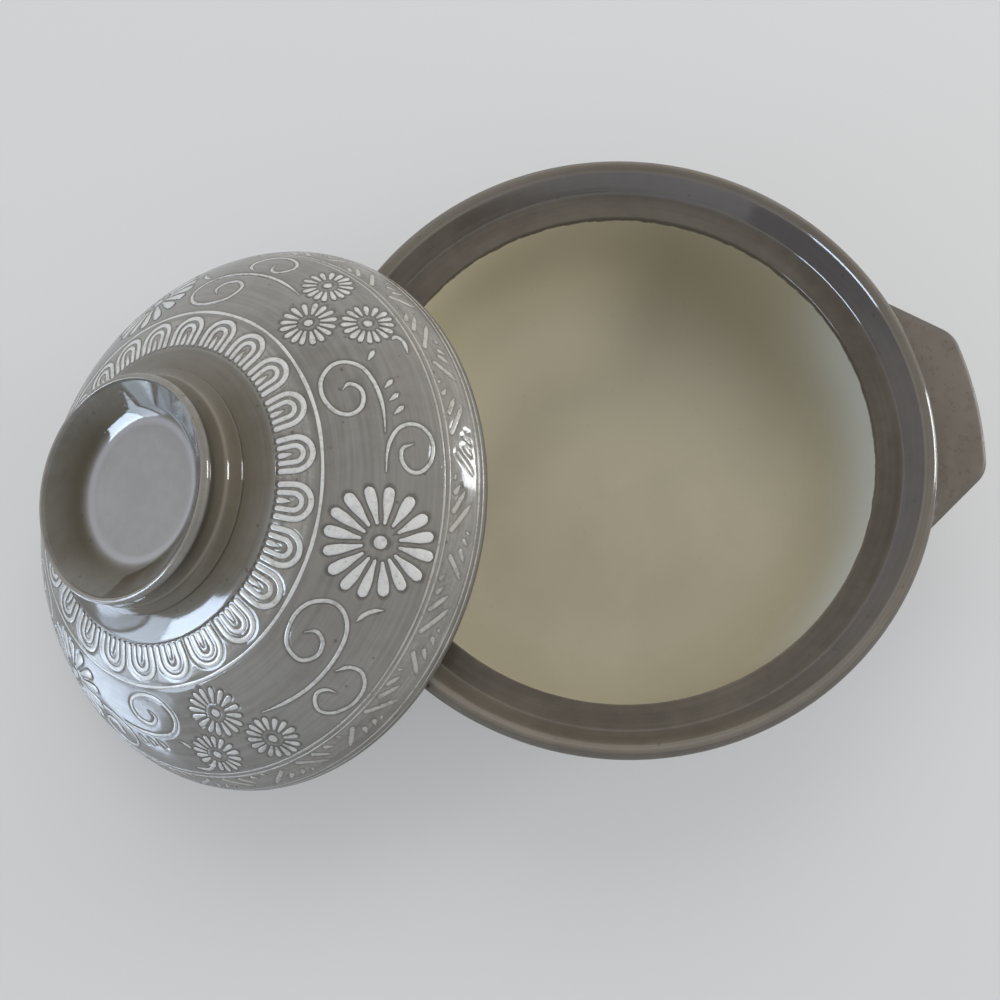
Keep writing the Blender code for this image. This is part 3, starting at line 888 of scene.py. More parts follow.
def make_lug(scene, name, side):
    """A lug that grows out of the pot's wall; side is +1 at +X and -1 at -X."""
    sizes = scene.donabe_pot
    low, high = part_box(name)
    middle = (low.z + high.z) / 2
    thick = sizes.lug_thick / 2
    fillet = sizes.lug_fillet
    outside = np.array(pot_rows(sizes)[2])[::-1]

    def wall_at(height):
        return np.interp(height, outside[:, 1], outside[:, 0])

    rows = lug_rows(sizes, wall_at, middle, max(abs(low.x), abs(high.x)))
    columns = len(rows[0][0])
    grid = []
    crest = []
    crease_pool_and_shade = []
    for plan, level in rows:
        out = np.linalg.norm(plan, axis=1) - wall_at(middle + level)
        near = np.clip(fillet - np.clip(out, 0, fillet), 0, fillet)
        rise = (fillet - np.sqrt(fillet ** 2 - near ** 2)) * level / thick
        grid.append(np.column_stack((plan * side, middle + level + rise)))
        # painted shade over pooled glaze where the lug meets the wall
        crease_pool_and_shade.append(smooth_step(near, 0.2 * fillet, 0.9 * fillet))
        crest.append(np.full(columns, 1.0 if abs(level[0]) < thick - 0.02 * sizes.lug_edge else 0.0))
    faces = []
    total = len(grid)
    for i in range(total):
        j = (i + 1) % total
        for k in range(columns - 1):
            faces.append((i * columns + k, j * columns + k, j * columns + k + 1, i * columns + k + 1))
    ends = [i * columns for i in range(total)]
    faces.append(ends[::-1])
    faces.append([i + columns - 1 for i in ends])
    piece = new_object(name + "_blended", np.vstack(grid).tolist(), faces, "pot")
    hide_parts(name)
    store_values(piece, "crest", np.concatenate(crest))
    store_values(piece, "crease_pool_and_shade", np.concatenate(crease_pool_and_shade))
    return piece


# Lid

# Shares of the dome's reach and rise that lead its curve off the skirt, and of its rise into the edge
CROWN_LEAD = (0.427, 0.108)
EDGE_LEAD = 0.339


class Dome:
    """The lid's outer surface, by angle round its axis and distance down from the skirt's foot."""

    def __init__(self, sizes):
        crown = (sizes.skirt_radius, sizes.skirt_height)
        edge = (sizes.radius, sizes.edge_roll)
        reach = edge[0] - crown[0]
        rise = crown[1] - edge[1]
        seat = (sizes.knob_foot - 1.2 * MM, sizes.knob_seat + 0.3 * MM)
        skirt_foot = (crown[0] - 0.3 * MM, crown[1] + sizes.skirt_step)
        width = skirt_foot[0] - seat[0]
        fall = seat[1] - skirt_foot[1]
        skirt = [seat] + bezier(
            seat,
            (seat[0] + width / 3, seat[1] - fall / 3 - sizes.skirt_hollow),
            (skirt_foot[0] - width / 3, skirt_foot[1] + fall / 3 - sizes.skirt_hollow),
            skirt_foot,
            80,
        )
        dome = [crown] + bezier(
            crown,
            (crown[0] + CROWN_LEAD[0] * reach, crown[1] - CROWN_LEAD[1] * rise),
            (edge[0], edge[1] + EDGE_LEAD * rise),
            edge,
            900,
        )
        roll = arc((edge[0] - sizes.edge_roll, edge[1]), sizes.edge_roll, 0, -90, 24)[1:]
        self.points = np.array(skirt + dome + roll)
        steps = np.hypot(*np.diff(self.points, axis=0).T)
        self.away = np.concatenate(([0], np.cumsum(steps)))
        self.away -= self.away[len(skirt)]
        self.dome_end = self.away[len(skirt) + len(dome) - 1]
        along = np.gradient(self.points, axis=0)
        along /= np.linalg.norm(along, axis=1)[:, None]
        self.normals = np.column_stack((-along[:, 1], along[:, 0]))

    def radius(self, away):
        """Distance from the axis, at a distance down the dome."""
        return np.interp(away, self.away, self.points[:, 0])

    def place(self, angle, away, lift):
        """Points in the lid's frame; the angle is in radians, the rest in metres."""
        angle, away, lift = np.broadcast_arrays(angle, away, lift)
        radius = self.radius(away) + lift * np.interp(away, self.away, self.normals[:, 0])
        height = np.interp(away, self.away, self.points[:, 1])
        height = height + lift * np.interp(away, self.away, self.normals[:, 1])
        return np.stack((radius * np.cos(angle), radius * np.sin(angle), height), axis=-1)


# Strokes of slip

STROKE_STEP = 0.45 * MM  # from one point of a stroke to the next
THIN_END = 0.3  # share of its width that a thinned stroke keeps at its end


def smooth_path(points, dome):
    """Even steps on a smooth curve through points given in degrees and millimetres on the dome."""
    given = np.array(points, dtype=float)
    scale = math.radians(1) * dome.radius(given[:, 1].mean() * MM) / MM
    given[:, 0] *= scale
    if len(given) > 2:
        ends = np.vstack((2 * given[0] - given[1], given, 2 * given[-1] - given[-2]))
        t = np.linspace(0, 1, 24, endpoint=False)[:, None]
        parts = []
        for a, b, c, d in zip(ends, ends[1:], ends[2:], ends[3:]):
            parts.append(0.5 * (2 * b + (c - a) * t + (2 * a - 5 * b + 4 * c - d) * t ** 2
                                + (3 * b - a - 3 * c + d) * t ** 3))
        dense = np.vstack(parts + [given[-1:]])
    else:
        dense = given
    run = np.concatenate(([0], np.cumsum(np.hypot(*np.diff(dense, axis=0).T))))
    even = np.linspace(0, run[-1], max(6, math.ceil(run[-1] * MM / STROKE_STEP)))
    angle = np.radians(np.interp(even, run, dense[:, 0]) / scale)
    away = np.interp(even, run, dense[:, 1]) * MM
    return angle, away, even * MM


def round_end(share, least):
    """Share of a line's half width over a round end, from its tip inward."""
    return np.sqrt(np.clip(1 - (1 - np.clip(share, 0, 1)) ** 2, least, 1))


def stroke(points, width, dome, head=0.0, tail=0.0, turn=0.0):
    """A brush line: its path and half width, round at its ends, thinned over head and tail."""
    angle, away, run = smooth_path(points, dome)
    half = np.full(len(run), width / 2 * MM)
    for near, thin in ((run, head * MM), (run[-1] - run, tail * MM)):
        if thin > 0:
            half = half * (THIN_END + (1 - THIN_END) * smooth_step(near, 0, thin))
        half = half * round_end(near / half, 0.004)
    return angle + math.radians(turn), away, half


def local_stroke(centre, across, down, half, dome):
    """A stroke from offsets in metres round a centre, across the dome and down it."""
    away = centre[1] * MM + down
    angle = math.radians(centre[0]) + across / dome.radius(away)
    return angle, away, half


def petal(centre, direction, inner, outer, narrow, wide, dome):
    """One petal of a stamped flower: a drop with its round end outward."""
    run = np.linspace(inner, outer, max(9, math.ceil((outer - inner) * MM / STROKE_STEP))) * MM
    share = (run - run[0]) / (run[-1] - run[0])
    half = (narrow + (wide - narrow) * smooth_step(share, 0.0, 0.72)) / 2 * MM
    half = half * round_end((run[-1] - run) / (0.55 * wide * MM), 0.003)
    half = half * round_end((run - run[0]) / (0.5 * narrow * MM), 0.02)
    return local_stroke(centre, run * math.cos(direction), run * math.sin(direction), half, dome)


def dot(centre, across, dome):
    """A round spot of slip."""
    run = np.linspace(-0.5, 0.5, 14) * across * MM
    half = np.sqrt(np.clip((across * MM / 2) ** 2 - run ** 2, (0.04 * MM) ** 2, None))
    return local_stroke(centre, 0 * run, run, half, dome)


def flower(centre, petals, dome, unevenness, inner, outer, narrow, wide, middle):
    """A chrysanthemum: petals round a dot, each a little off its place."""
    strokes = [dot(centre, middle, dome)]
    for k in range(petals):
        off = unevenness.uniform(-1, 1, 3)
        direction = k * math.tau / petals - math.pi / 2
        direction += 0.045 * (1 + math.sin(direction)) + 0.03 * off[0]
        strokes.append(petal(
            centre, direction, inner + 0.06 * inner * off[1], outer + 0.03 * outer * off[2],
            narrow, wide * (1 + 0.07 * off[1]), dome,
        ))
    return strokes


ARCH_FIRST = -1.9  # degrees, middle of the first arch
ARCH_LEG = 7.6  # millimetres down the dome where an arch's legs start to bend
# Outer and inner arch: half width in degrees, tip down the dome and width of the line in millimetres
ARCH_LINES = ((5.6, 15.1, 2.3), (2.75, 11.3, 2.05))


def arch_strokes(pattern, dome):
    """Nested arches with a bar, stamped side by side round the skirt's foot."""
    strokes = []
    pitch = 360 / pattern.arches
    for k in range(pattern.arches):
        middle = ARCH_FIRST + k * pitch
        middle += 0.75 * math.sin(math.radians(2 * middle + 10)) + 0.35 * math.sin(math.radians(5 * middle))
        for spread, tip, width in ARCH_LINES:
            bend = [
                (middle + spread * math.cos(a), ARCH_LEG + (tip - ARCH_LEG) * math.sin(a))
                for a in np.linspace(0, math.pi, 9)
            ]
            legs = [(middle + spread, 0.7), (middle + spread, 4.0)]
            back = [(middle - spread, 4.0), (middle - spread, 0.7)]
            strokes.append(stroke(legs + bend + back, width, dome))
        strokes.append(stroke([(middle, 0.8), (middle, 7.0)], 2.2, dome, tail=4.0))
    return strokes


# Degrees round the lid and millimetres down the dome of each flower's middle
BIG_FLOWER = (-24.2, 44.2)
SMALL_FLOWERS = ((37.65, 34.2), (29.9, 54.5), (46.0, 55.0))
# Millimetres: where the petals start and end, their widths there, and the width of the dot
BIG_PETALS = {"inner": 7.2, "outer": 22.0, "narrow": 1.3, "wide": 4.4, "middle": 5.3}
SMALL_PETALS = {"inner": 4.7, "outer": 11.1, "narrow": 1.1, "wide": 2.4, "middle": 3.8}
FIRST_PETALS = {**SMALL_PETALS, "outer": 12.0}
# The stamps were set by eye: degrees from the first repeat to each, for each kind
BIG_TURNS = (0.0, 122.7, 240.0)
SMALL_TURNS = (0.0, 120.0, 235.8)
LEFT_TURNS = (0.0, 123.0, 240.5)
RIGHT_TURNS = (0.0, 121.0, 237.2)


def big_flower_strokes(pattern, dome):
    """One large flower in each repeat."""
    unevenness = np.random.default_rng(7)
    strokes = []
    for turn in BIG_TURNS:
        centre = (BIG_FLOWER[0] + turn, BIG_FLOWER[1])
        strokes += flower(centre, pattern.petals, dome, unevenness, **BIG_PETALS)
    return strokes


def small_flower_strokes(pattern, dome):
    """Three small flowers in each repeat, the one nearest the skirt a little larger."""
    unevenness = np.random.default_rng(8)
    strokes = []
    for turn in SMALL_TURNS:
        for (angle, away), petals in zip(SMALL_FLOWERS, (FIRST_PETALS, SMALL_PETALS, SMALL_PETALS)):
            strokes += flower((angle + turn, away), pattern.petals, dome, unevenness, **petals)
    return strokes


# Each scroll: degrees round the lid and millimetres down the dome, along the middle of the line
LEFT_SCROLL = (
    (-51.0, 30.7), (-49.2, 34.6), (-50.7, 39.0), (-54.3, 40.2), (-57.6, 36.0), (-56.8, 29.0),
    (-53.2, 25.2), (-48.0, 24.1), (-43.4, 27.0), (-40.9, 34.0), (-42.2, 40.6), (-46.0, 44.9),
    (-52.5, 46.6), (-60.5, 46.5), (-68.0, 44.8), (-75.3, 42.3),
)
LEFT_CURL = (
    (-55.0, 49.7), (-52.5, 53.5), (-52.2, 59.0), (-54.8, 63.6), (-59.0, 64.6), (-63.2, 61.4),
    (-64.8, 56.4), (-63.6, 52.0), (-61.4, 50.3), (-59.6, 52.5), (-59.0, 56.3),
)
LEFT_STEM = ((-42.7, 46.0), (-40.6, 47.6), (-38.9, 50.6), (-38.0, 54.0))
RIGHT_SCROLL = (
    (14.0, 31.3), (15.2, 34.6), (13.5, 38.1), (10.8, 38.6), (8.0, 36.2), (6.9, 31.5), (8.3, 26.8),
    (11.8, 23.8), (15.6, 23.3), (19.2, 25.4), (21.7, 30.6), (21.7, 36.2), (19.0, 41.8),
    (14.2, 44.4), (8.0, 45.1), (1.0, 44.0),
)
RIGHT_CURL = (
    (-8.3, 43.3), (-3.8, 43.9), (-0.3, 46.2), (2.2, 50.6), (2.5, 56.6), (0.6, 61.2), (-2.4, 62.8),
    (-5.8, 61.2), (-7.9, 57.0), (-7.8, 52.6), (-5.6, 49.7), (-2.9, 50.1), (-1.8, 54.8),
)
RIGHT_COMMA = ((23.7, 59.4), (24.2, 61.8), (22.6, 63.7), (19.4, 63.0))
LEAVES = (
    ((5.2, 48.6), (7.0, 53.4)), ((8.6, 48.0), (10.1, 52.7)), ((11.9, 47.7), (13.7, 52.1)),
    ((20.0, 45.7), (22.2, 50.1)),
)


# Each line with its width, and the lengths over which its head and its tail thin, in millimetres
LEFT_LINES = ((LEFT_SCROLL, 1.65, 6, 14), (LEFT_CURL, 1.55, 5, 6), (LEFT_STEM, 1.7, 3, 4))
RIGHT_LINES = (
    (RIGHT_SCROLL, 1.75, 5, 16), (RIGHT_CURL, 1.6, 16, 5), (RIGHT_COMMA, 1.8, 2, 4),
    *((leaf, 2.0, 3.4, 1.4) for leaf in LEAVES),
)


def scroll_strokes(dome):
    """Scrolls that run between the flowers, with their curls and leaves."""
    strokes = []
    for turns, lines in ((LEFT_TURNS, LEFT_LINES), (RIGHT_TURNS, RIGHT_LINES)):
        for turn in turns:
            for path, width, head, tail in lines:
                strokes.append(stroke(path, width, dome, head=head, tail=tail, turn=turn))
    return strokes


# One group of hatching: where each stroke starts and ends, in degrees and millimetres
HATCH = (
    ((0.6, 71.0), (6.2, 79.4)), ((4.8, 71.2), (8.6, 76.6)), ((8.3, 70.9), (10.3, 73.6)),
    ((11.5, 70.7), (12.5, 72.4)), ((16.6, 72.3), (11.8, 80.0)), ((17.8, 76.2), (15.9, 80.1)),
    ((19.8, 76.8), (18.5, 79.9)), ((21.6, 78.4), (20.9, 80.2)),
)
HATCH_PLAY = (0.5, 0.4, 0.5, 0.5)  # how far these may stray


def hatch_strokes(pattern, dome):
    """Short slanting strokes in the outer band, a little uneven."""
    strokes = []
    pitch = 360 / pattern.hatches
    unevenness = np.random.default_rng(11)
    for k in range(pattern.hatches):
        for start, end in HATCH:
            off = unevenness.uniform(-1, 1, 4) * HATCH_PLAY
            points = [(start[0] + off[0], start[1] + off[1]), (end[0] + off[2], end[1] + off[3])]
            strokes.append(stroke(points, 2.1, dome, tail=3.0, turn=k * pitch))
    return strokes


# Lines right round the lid: millimetres down the dome, and width
INNER_LINE = ((18.8, 1.55),)
OUTER_LINES = ((67.2, 1.1), (69.5, 0.9), (83.4, 1.1), (86.4, 1.3))


def ring_strokes(lines):
    """Lines drawn right round the dome, closed where they meet."""
    strokes = []
    for away, width in lines:
        angle = np.linspace(0, math.tau, 721)
        # the hand that drew it wavered and pressed unevenly
        waver = 0.12 * np.sin(3 * angle + away) + 0.07 * np.sin(11 * angle)
        half = width / 2 * (1 + 0.12 * np.sin(7 * angle + away) + 0.1 * np.sin(23 * angle))
        strokes.append((angle, (away + waver) * MM, half * MM))
    return strokes


def pattern_groups(pattern, dome):
    """For each piece of slip its name, its finish, the depth of its dents as a share, and its strokes."""
    return (
        ("inlay_arches", "bright", 1.0, arch_strokes(pattern, dome)),
        ("inlay_big_flowers", "thick", 1.0, big_flower_strokes(pattern, dome)),
        ("inlay_small_flowers", "rubbed", 0.9, small_flower_strokes(pattern, dome)),
        ("inlay_scrolls", "rubbed", 0.75, scroll_strokes(dome)),
        ("inlay_hatching", "worn", 0.6, hatch_strokes(pattern, dome)),
        ("inlay_inner_line", "bright", 0.4, ring_strokes(INNER_LINE)),
        ("inlay_outer_lines", "worn", 0.4, ring_strokes(OUTER_LINES)),
    )


# Across a strip of slip, as shares of its half width: over its crown, then back along its bed
STRIP_CROWN = (-1.0, -0.82, -0.45, 0.0, 0.45, 0.82, 1.0)
STRIP_BED = (0.7, -0.7)


def inlay_piece(name, strokes, dome, pattern, finish):
    """Slip in the dents: each line is a low crowned strip that follows the dome."""
    share = np.array(STRIP_CROWN + STRIP_BED)
    lift = pattern.crown - pattern.sink * share ** 4
    lift[len(STRIP_CROWN):] = -pattern.dent - 0.1 * MM
    vertices = []
    faces = []
    thin = []
    for angle, away, half in strokes:
        radius = dome.radius(away)
        across = np.gradient(angle) * radius
        down = np.gradient(away)
        size = np.hypot(across, down)
        across /= size
        down /= size
        side = share[None, :] * half[:, None]
        angles = angle[:, None] - side * down[:, None] / radius[:, None]
        aways = away[:, None] + side * across[:, None]
        points = dome.place(angles, aways, lift[None, :])
        first = len(vertices)
        closed = np.allclose(angle[-1] - angle[0], math.tau)
        if closed:
            points = points[:-1]
        rows, wide = points.shape[:2]
        vertices.extend(points.reshape(-1, 3).tolist())
        narrow = 1 - half[:rows] / half.max()
        thin.append(np.clip(narrow[:, None] + 0.8 * share[None, :] ** 4, 0, 1).reshape(-1))
        for i in range(rows if closed else rows - 1):
            here = first + i * wide
            ahead = first + (i + 1) % rows * wide
            for k in range(wide):
                n = (k + 1) % wide
                faces.append((here + k, here + n, ahead + n, ahead + k))
        if not closed:
            faces.append([first + k for k in range(wide)][::-1])
            faces.append([first + (rows - 1) * wide + k for k in range(wide)])
    piece = new_object(name, vertices, faces, "lid", LID_PLACE)
    store_values(piece, "thin", np.concatenate(thin))
    piece.data.materials.append(finish)


# Skin of the lid

LID_AROUND = 960
PATTERN_END = 86.2 * MM  # down the dome, where the last dents end


def lid_rows(sizes, dome):
    """Distances down the outside for each row of the lid, then the profile of its inside."""
    # the rows stand closer where the skirt steps down to the dome
    skirt = np.linspace(dome.away[0], -0.8 * MM, 16)
    step = np.array((-0.5, -0.2, 0.0, 0.4)) * MM
    side = np.linspace(0.9 * MM, dome.dome_end - 0.4 * MM, 136)
    roll = np.linspace(dome.dome_end, dome.away[-1], 8)
    inner_edge = (sizes.radius - 2 * sizes.edge_roll, sizes.edge_roll)
    crown = (sizes.skirt_radius - sizes.thick / 2, sizes.skirt_height - sizes.thick)
    reach = inner_edge[0] - crown[0]
    rise = crown[1] - inner_edge[1]
    middle = sizes.knob_seat - sizes.thick
    inside = arc((sizes.radius - sizes.edge_roll, sizes.edge_roll), sizes.edge_roll, -115, -180, 4)
    inside += bezier(
        inner_edge,
        (inner_edge[0], inner_edge[1] + EDGE_LEAD * rise),
        (crown[0] + CROWN_LEAD[0] * reach, crown[1] - CROWN_LEAD[1] * rise),
        crown,
        18,
    )
    lead = (0.8 * crown[0], crown[1] + 2.5 * MM)
    inside += bezier(crown, lead, (0.4 * crown[0], middle), (4 * MM, middle), 6)
    return np.concatenate((skirt, step, side, roll)), inside


def dent_map(groups, pattern, dome, aways, angles):
    """How far each point of the outside is pressed in, from nothing to one."""
    samples = []
    halves = []
    depths = []
    for _, _, depth, strokes in groups:
        for angle, away, half in strokes:
            samples.append(dome.place(angle, away, 0 * away))
            halves.append(half)
            depths.append(np.full(len(half), depth))
    samples = np.vstack(samples)
    halves = np.concatenate(halves)
    depths = np.concatenate(depths)
    tree = kdtree.KDTree(len(samples))
    for i, point in enumerate(samples):
        tree.insert(point, i)
    tree.balance()
    flat = dome.place(angles[None, :], aways[:, None], 0.0)
    dent = np.zeros(flat.shape[:2])
    for i in np.nonzero((aways > -0.1 * MM) & (aways < PATTERN_END))[0]:
        for j in range(len(angles)):
            best = 1.0
            deep = 0.0
            for _, index, apart in tree.find_n(flat[i, j], 5):
                if apart - halves[index] < best:
                    best = apart - halves[index]
                    deep = depths[index]
            pressed = 1 - (best - pattern.margin) / pattern.slope
            dent[i, j] = deep * min(max(pressed, 0.0), 1.0)
    return dent * dent * (3 - 2 * dent)


def lid_marks(dome, aways):
    """Marks of the lid's glaze and painted shade for each row of its outside."""
    # the skirt's brown thins towards the dome
    skirt = 1 - smooth_step(aways, -3.0 * MM, -0.2 * MM)
    skirt *= 1 - 0.4 * smooth_step(aways, -13.0 * MM, -4.0 * MM)
    # the rolled edge is dark and dry, and darker still with painted shade; the clay round the hatching is
    # painted a little darker as shade
    edge = smooth_step(aways, dome.dome_end - 1.2 * MM, dome.dome_end + 1.0 * MM)
    edge = np.maximum(edge, 0.14 * smooth_step(aways, 64.0 * MM, 69.0 * MM))
    # slip is smeared over the clay between the arches and between the hatches
    arches = between(aways, 0.2 * MM, 1.2 * MM, 14.5 * MM, 16.5 * MM)
    band = between(aways, 67.2 * MM, 69.0 * MM, 83.2 * MM, 84.5 * MM)
    return {"edge": edge, "skirt": skirt, "wash": 0.36 * arches + 0.28 * band}


def make_lid(scene):
    """The dome and its skirt in one fine skin, with a dent round every stroke of the pattern."""
    sizes = scene.donabe_lid
    pattern = scene.donabe_pattern
    dome = Dome(sizes)
    aways, inside = lid_rows(sizes, dome)
    angles = np.arange(LID_AROUND) * (math.tau / LID_AROUND)
    dent = dent_map(pattern_groups(pattern, dome), pattern, dome, aways, angles)
    outer = dome.place(angles[None, :], aways[:, None], -pattern.dent * dent)
    points = np.concatenate((outer, turned_vertices(inside, LID_AROUND)))
    vertices, faces = closed_turning(points, sizes.knob_seat, inside[-1][1])
    lid = new_object("lid_skin", vertices, faces, "lid", LID_PLACE)
    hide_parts("lid_dome")
    marks = np.zeros(points.shape[:2])
    marks[:len(aways)] = dent
    set_values(lid, "dent", marks, LID_AROUND)
    for name, values in lid_marks(dome, aways).items():
        within = 1.0 if name == "edge" else 0.0
        set_values(lid, name, np.append(values, np.full(len(inside), within)), LID_AROUND)
    lid.data.materials.append(lid_glaze(scene.donabe_colours))


# Knob

KNOB_AROUND = 360


def knob_profile(sizes):
    """The knob from the middle of its dish over its lip and down to its foot on the skirt."""
    lip = (sizes.knob_radius, sizes.knob_top)
    foot = (sizes.knob_foot, sizes.knob_seat)
    waist = moved((sizes.knob_radius, sizes.knob_seat), -3.6, 9.4)
    bead = moved((sizes.knob_radius, sizes.knob_seat), 0.8, 5.7)
    dish = sizes.knob_seat + 3.4 * MM
    corner = sizes.knob_dish
    inner = moved(lip, -3.3, -1.7)
    crest = moved(lip, -1.9, 0.0)
    side = moved(lip, 0.0, -2.1)
    points = [(0.0, dish), (0.3 * corner, dish)]
    points += softened([(0.5 * corner, dish, 0), (corner, dish, 6.0 * MM), (*inner, 0)], 30)
    points += bezier(inner, moved(inner, 0.7, 0.7), moved(crest, -1.0, 0.0), crest, 9)
    points += bezier(crest, moved(crest, 1.1, 0.0), moved(lip, 0.0, -1.0), side, 9)
    points += bezier(side, moved(lip, 0.0, -4.2), moved(waist, 0.7, 1.5), waist, 14)
    points += bezier(waist, moved(waist, -0.4, -0.8), moved(bead, -2.2, 1.9), moved(bead, -0.8, 0.7), 14)
    points += bezier(points[-1], moved(bead, -0.1, 0.2), moved(bead, 0.1, -0.4), moved(bead, 0.1, -0.9), 7)
    points += bezier(points[-1], moved(bead, 0.3, -2.2), moved(foot, -1.5, 2.3), moved(foot, -0.2, 1.2), 14)
    points += bezier(points[-1], moved(foot, 0.1, 0.9), moved(foot, 0.2, 0.3), moved(foot, -0.2, -0.6), 8)
    points += [moved(foot, -3.0, -2.5), (0.0, sizes.knob_seat - 2.5 * MM)]
    return points


def make_knob(scene):
    """The ring knob, turned and leant a little, with marks for its glaze and its painted shade."""
    sizes = scene.donabe_lid
    wide = sizes.knob_radius
    seat = sizes.knob_seat
    top = sizes.knob_top
    dish = sizes.knob_dish
    profile = knob_profile(sizes)
    knob = turned_piece("knob_turned", profile, KNOB_AROUND, "lid")
    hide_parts("lid_knob")
    points = np.zeros(len(knob.data.vertices) * 3)
    knob.data.vertices.foreach_get("co", points)
    points = points.reshape(-1, 3)
    lean = smooth_step(points[:, 2], seat + 1 * MM, top - 3 * MM)
    points[:, :2] += lean[:, None] * (sizes.knob_lean_x, sizes.knob_lean_y)
    knob.data.vertices.foreach_set("co", points.reshape(-1))
    knob.data.transform(LID_PLACE)
    knob.data.update()
    middle = np.array(profile[1:-1])
    inner = np.arange(len(middle)) < np.argmax(middle[:, 1])
    floor = 1 - smooth_step(middle[:, 0], dish - 1 * MM, dish + 2 * MM)
    floor *= 0.5 + 0.4 * bump_at(middle, (dish - 1 * MM, seat + 3.6 * MM), 3 * MM)
    wall = between(middle[:, 0], dish - 1 * MM, dish + 3.5 * MM, wide - 3.8 * MM, wide - 2.8 * MM)
    neck = 1 - smooth_step(middle[:, 1], top - 6 * MM, top - 3 * MM)
    # painted shade over pooled glaze: under the lip and where the foot meets the skirt
    crease_pool_and_shade = bump_at(middle, (wide - 3.6 * MM, seat + 9 * MM), 2 * MM)
    crease_pool_and_shade = crease_pool_and_shade + bump_at(middle, (sizes.knob_foot, seat - 0.3 * MM), 1.6 * MM)
    crest = bump_at(middle, (wide - 1.6 * MM, top), 1.6 * MM)
    crest = crest + 0.8 * bump_at(middle, (wide + 0.7 * MM, seat + 5.6 * MM), 1 * MM)
    marks = {
        "floor": floor * inner, "wall": wall * inner, "neck": neck * ~inner, "crease_pool_and_shade": crease_pool_and_shade, "crest": crest,
    }
    for name, rows in marks.items():
        set_values(knob, name, np.clip(rows, 0, 1), KNOB_AROUND)
    knob.data.materials.append(knob_glaze(scene.donabe_colours))


# Stage

TABLE_HALF = 4.0  # metres from the table's middle to its sides


def make_table(scene):
    """A plain pale table."""
    stage = scene.donabe_stage
    corners = [(x * TABLE_HALF, y * TABLE_HALF, 0) for x, y in ((-1, -1), (1, -1), (1, 1), (-1, 1))]
    mesh = bpy.data.meshes.new("table_top")
    mesh.from_pydata(corners, [], [(0, 1, 2, 3)])
    floor = bpy.data.objects.new("table_top", mesh)
    scene.collection.objects.link(floor)
    made = bpy.data.materials.new("table_matt")
    made.use_nodes = True
    tree = made.node_tree
    shader = tree.nodes["Principled BSDF"]
    shader.inputs["Base Color"].default_value = (*stage.floor, 1.0)
    rays = node(tree, "ShaderNodeLightPath").outputs
    # the table is matt to the eye, but the glaze shows the windows once more in it
    polish = (("Roughness", 0.5, 0.14), ("Specular IOR Level", 0.0, 1.0), ("IOR", 1.5, 1.9))
    for key, seen, mirrored in polish:
        tree.links.new(ranged(tree, rays["Is Glossy Ray"], 0.0, 1.0, seen, mirrored), shader.inputs[key])
    # a share of the table's look is even light, which keeps the shadows but makes them fainter
    plain = node(tree, "ShaderNodeEmission", {"Color": (*stage.floor, 1.0), "Strength": 1.0})
    share = times(tree, rays["Is Camera Ray"], stage.evenness)
    both = node(tree, "ShaderNodeMixShader", {0: share, 1: shader.outputs[0], 2: plain.outputs[0]})
    tree.links.new(both.outputs[0], tree.nodes["Material Output"].inputs["Surface"])
    mesh.materials.append(made)


def make_room(scene):
    """Soft light from all round; the glaze mirrors a room with a pale horizon and a greyer ceiling."""
    stage = scene.donabe_stage
    world = bpy.data.worlds.new("soft_room")
    world.use_nodes = True
    tree = world.node_tree
    ray = node(tree, "ShaderNodeTexCoord").outputs["Generated"]
    level = ranged(tree, node(tree, "ShaderNodeSeparateXYZ", {0: ray}).outputs[2], 0.25, 0.85)
    mirrored = mixed(tree, level, tuple(stage.horizon), tuple(stage.ceiling))
    glossy = node(tree, "ShaderNodeLightPath").outputs["Is Glossy Ray"]
    shown = mixed(tree, glossy, tuple(stage.room), mirrored)
    tree.links.new(shown, tree.nodes["Background"].inputs["Color"])
    scene.world = world


WARM = (1.0, 0.985, 0.95)
SUNNY = (1.0, 0.98, 0.94)
DAY = (0.68, 0.82, 1.0)
SKY = (0.66, 0.80, 1.0)
HAZE = (0.93, 0.96, 1.0)
LEFT_AIM = (-0.1, 0.0, 0.1)
RIGHT_AIM = (-0.07, -0.01, 0.13)
# Name, place, aim, width and height, watts, tint, and whether it is a pane that the glaze mirrors:
# the panes are brighter than the light that the windows give the clay, and light nothing else
LAMPS = (
    ("ceiling_soft", (0.15, 1.05, 1.55), (0.0, 0.0, 0.0), (1.3, 1.3), 12.5, WARM, False),
    ("window_left", (-1.53, -0.52, 0.52), LEFT_AIM, (0.78, 0.88), 7.5, DAY, False),
    ("pane_left", (-1.50, -0.50, 0.74), LEFT_AIM, (0.68, 0.66), 27.0, SKY, True),
    ("sill_left", (-1.50, -0.50, 0.22), LEFT_AIM, (0.74, 0.34), 6.0, SKY, True),
    ("window_right", (1.5, 0.24, 0.50), RIGHT_AIM, (0.42, 0.66), 11.0, SUNNY, False),
    ("pane_right", (1.47, 0.235, 0.493), RIGHT_AIM, (0.42, 0.66), 16.0, HAZE, True),
)


def hang_lamps(scene):
    """Area lamps that face the object."""
    for name, place, aim, size, power, tint, mirrored in LAMPS:
        data = bpy.data.lights.new(name, "AREA")
        data.shape = "RECTANGLE"
        data.size, data.size_y = size
        data.energy = power
        data.color = tint
        lamp = bpy.data.objects.new(name, data)
        scene.collection.objects.link(lamp)
        lamp.location = place
        lamp.rotation_euler = (Vector(aim) - Vector(place)).to_track_quat("-Z", "Y").to_euler()
        lamp.visible_glossy = mirrored
        lamp.visible_diffuse = not mirrored


def place_camera(scene):
    """The photograph's viewing angle."""
    stage = scene.donabe_stage
    data = bpy.data.cameras.new("camera")
    data.lens = stage.lens
    data.sensor_width = 36.0
    data.clip_start = 0.01
    camera = bpy.data.objects.new("camera", data)
    scene.collection.objects.link(camera)
    camera.location = stage.camera
    camera.rotation_euler = Euler((stage.tilt, stage.lean, stage.turn), "XYZ")
    scene.camera = camera


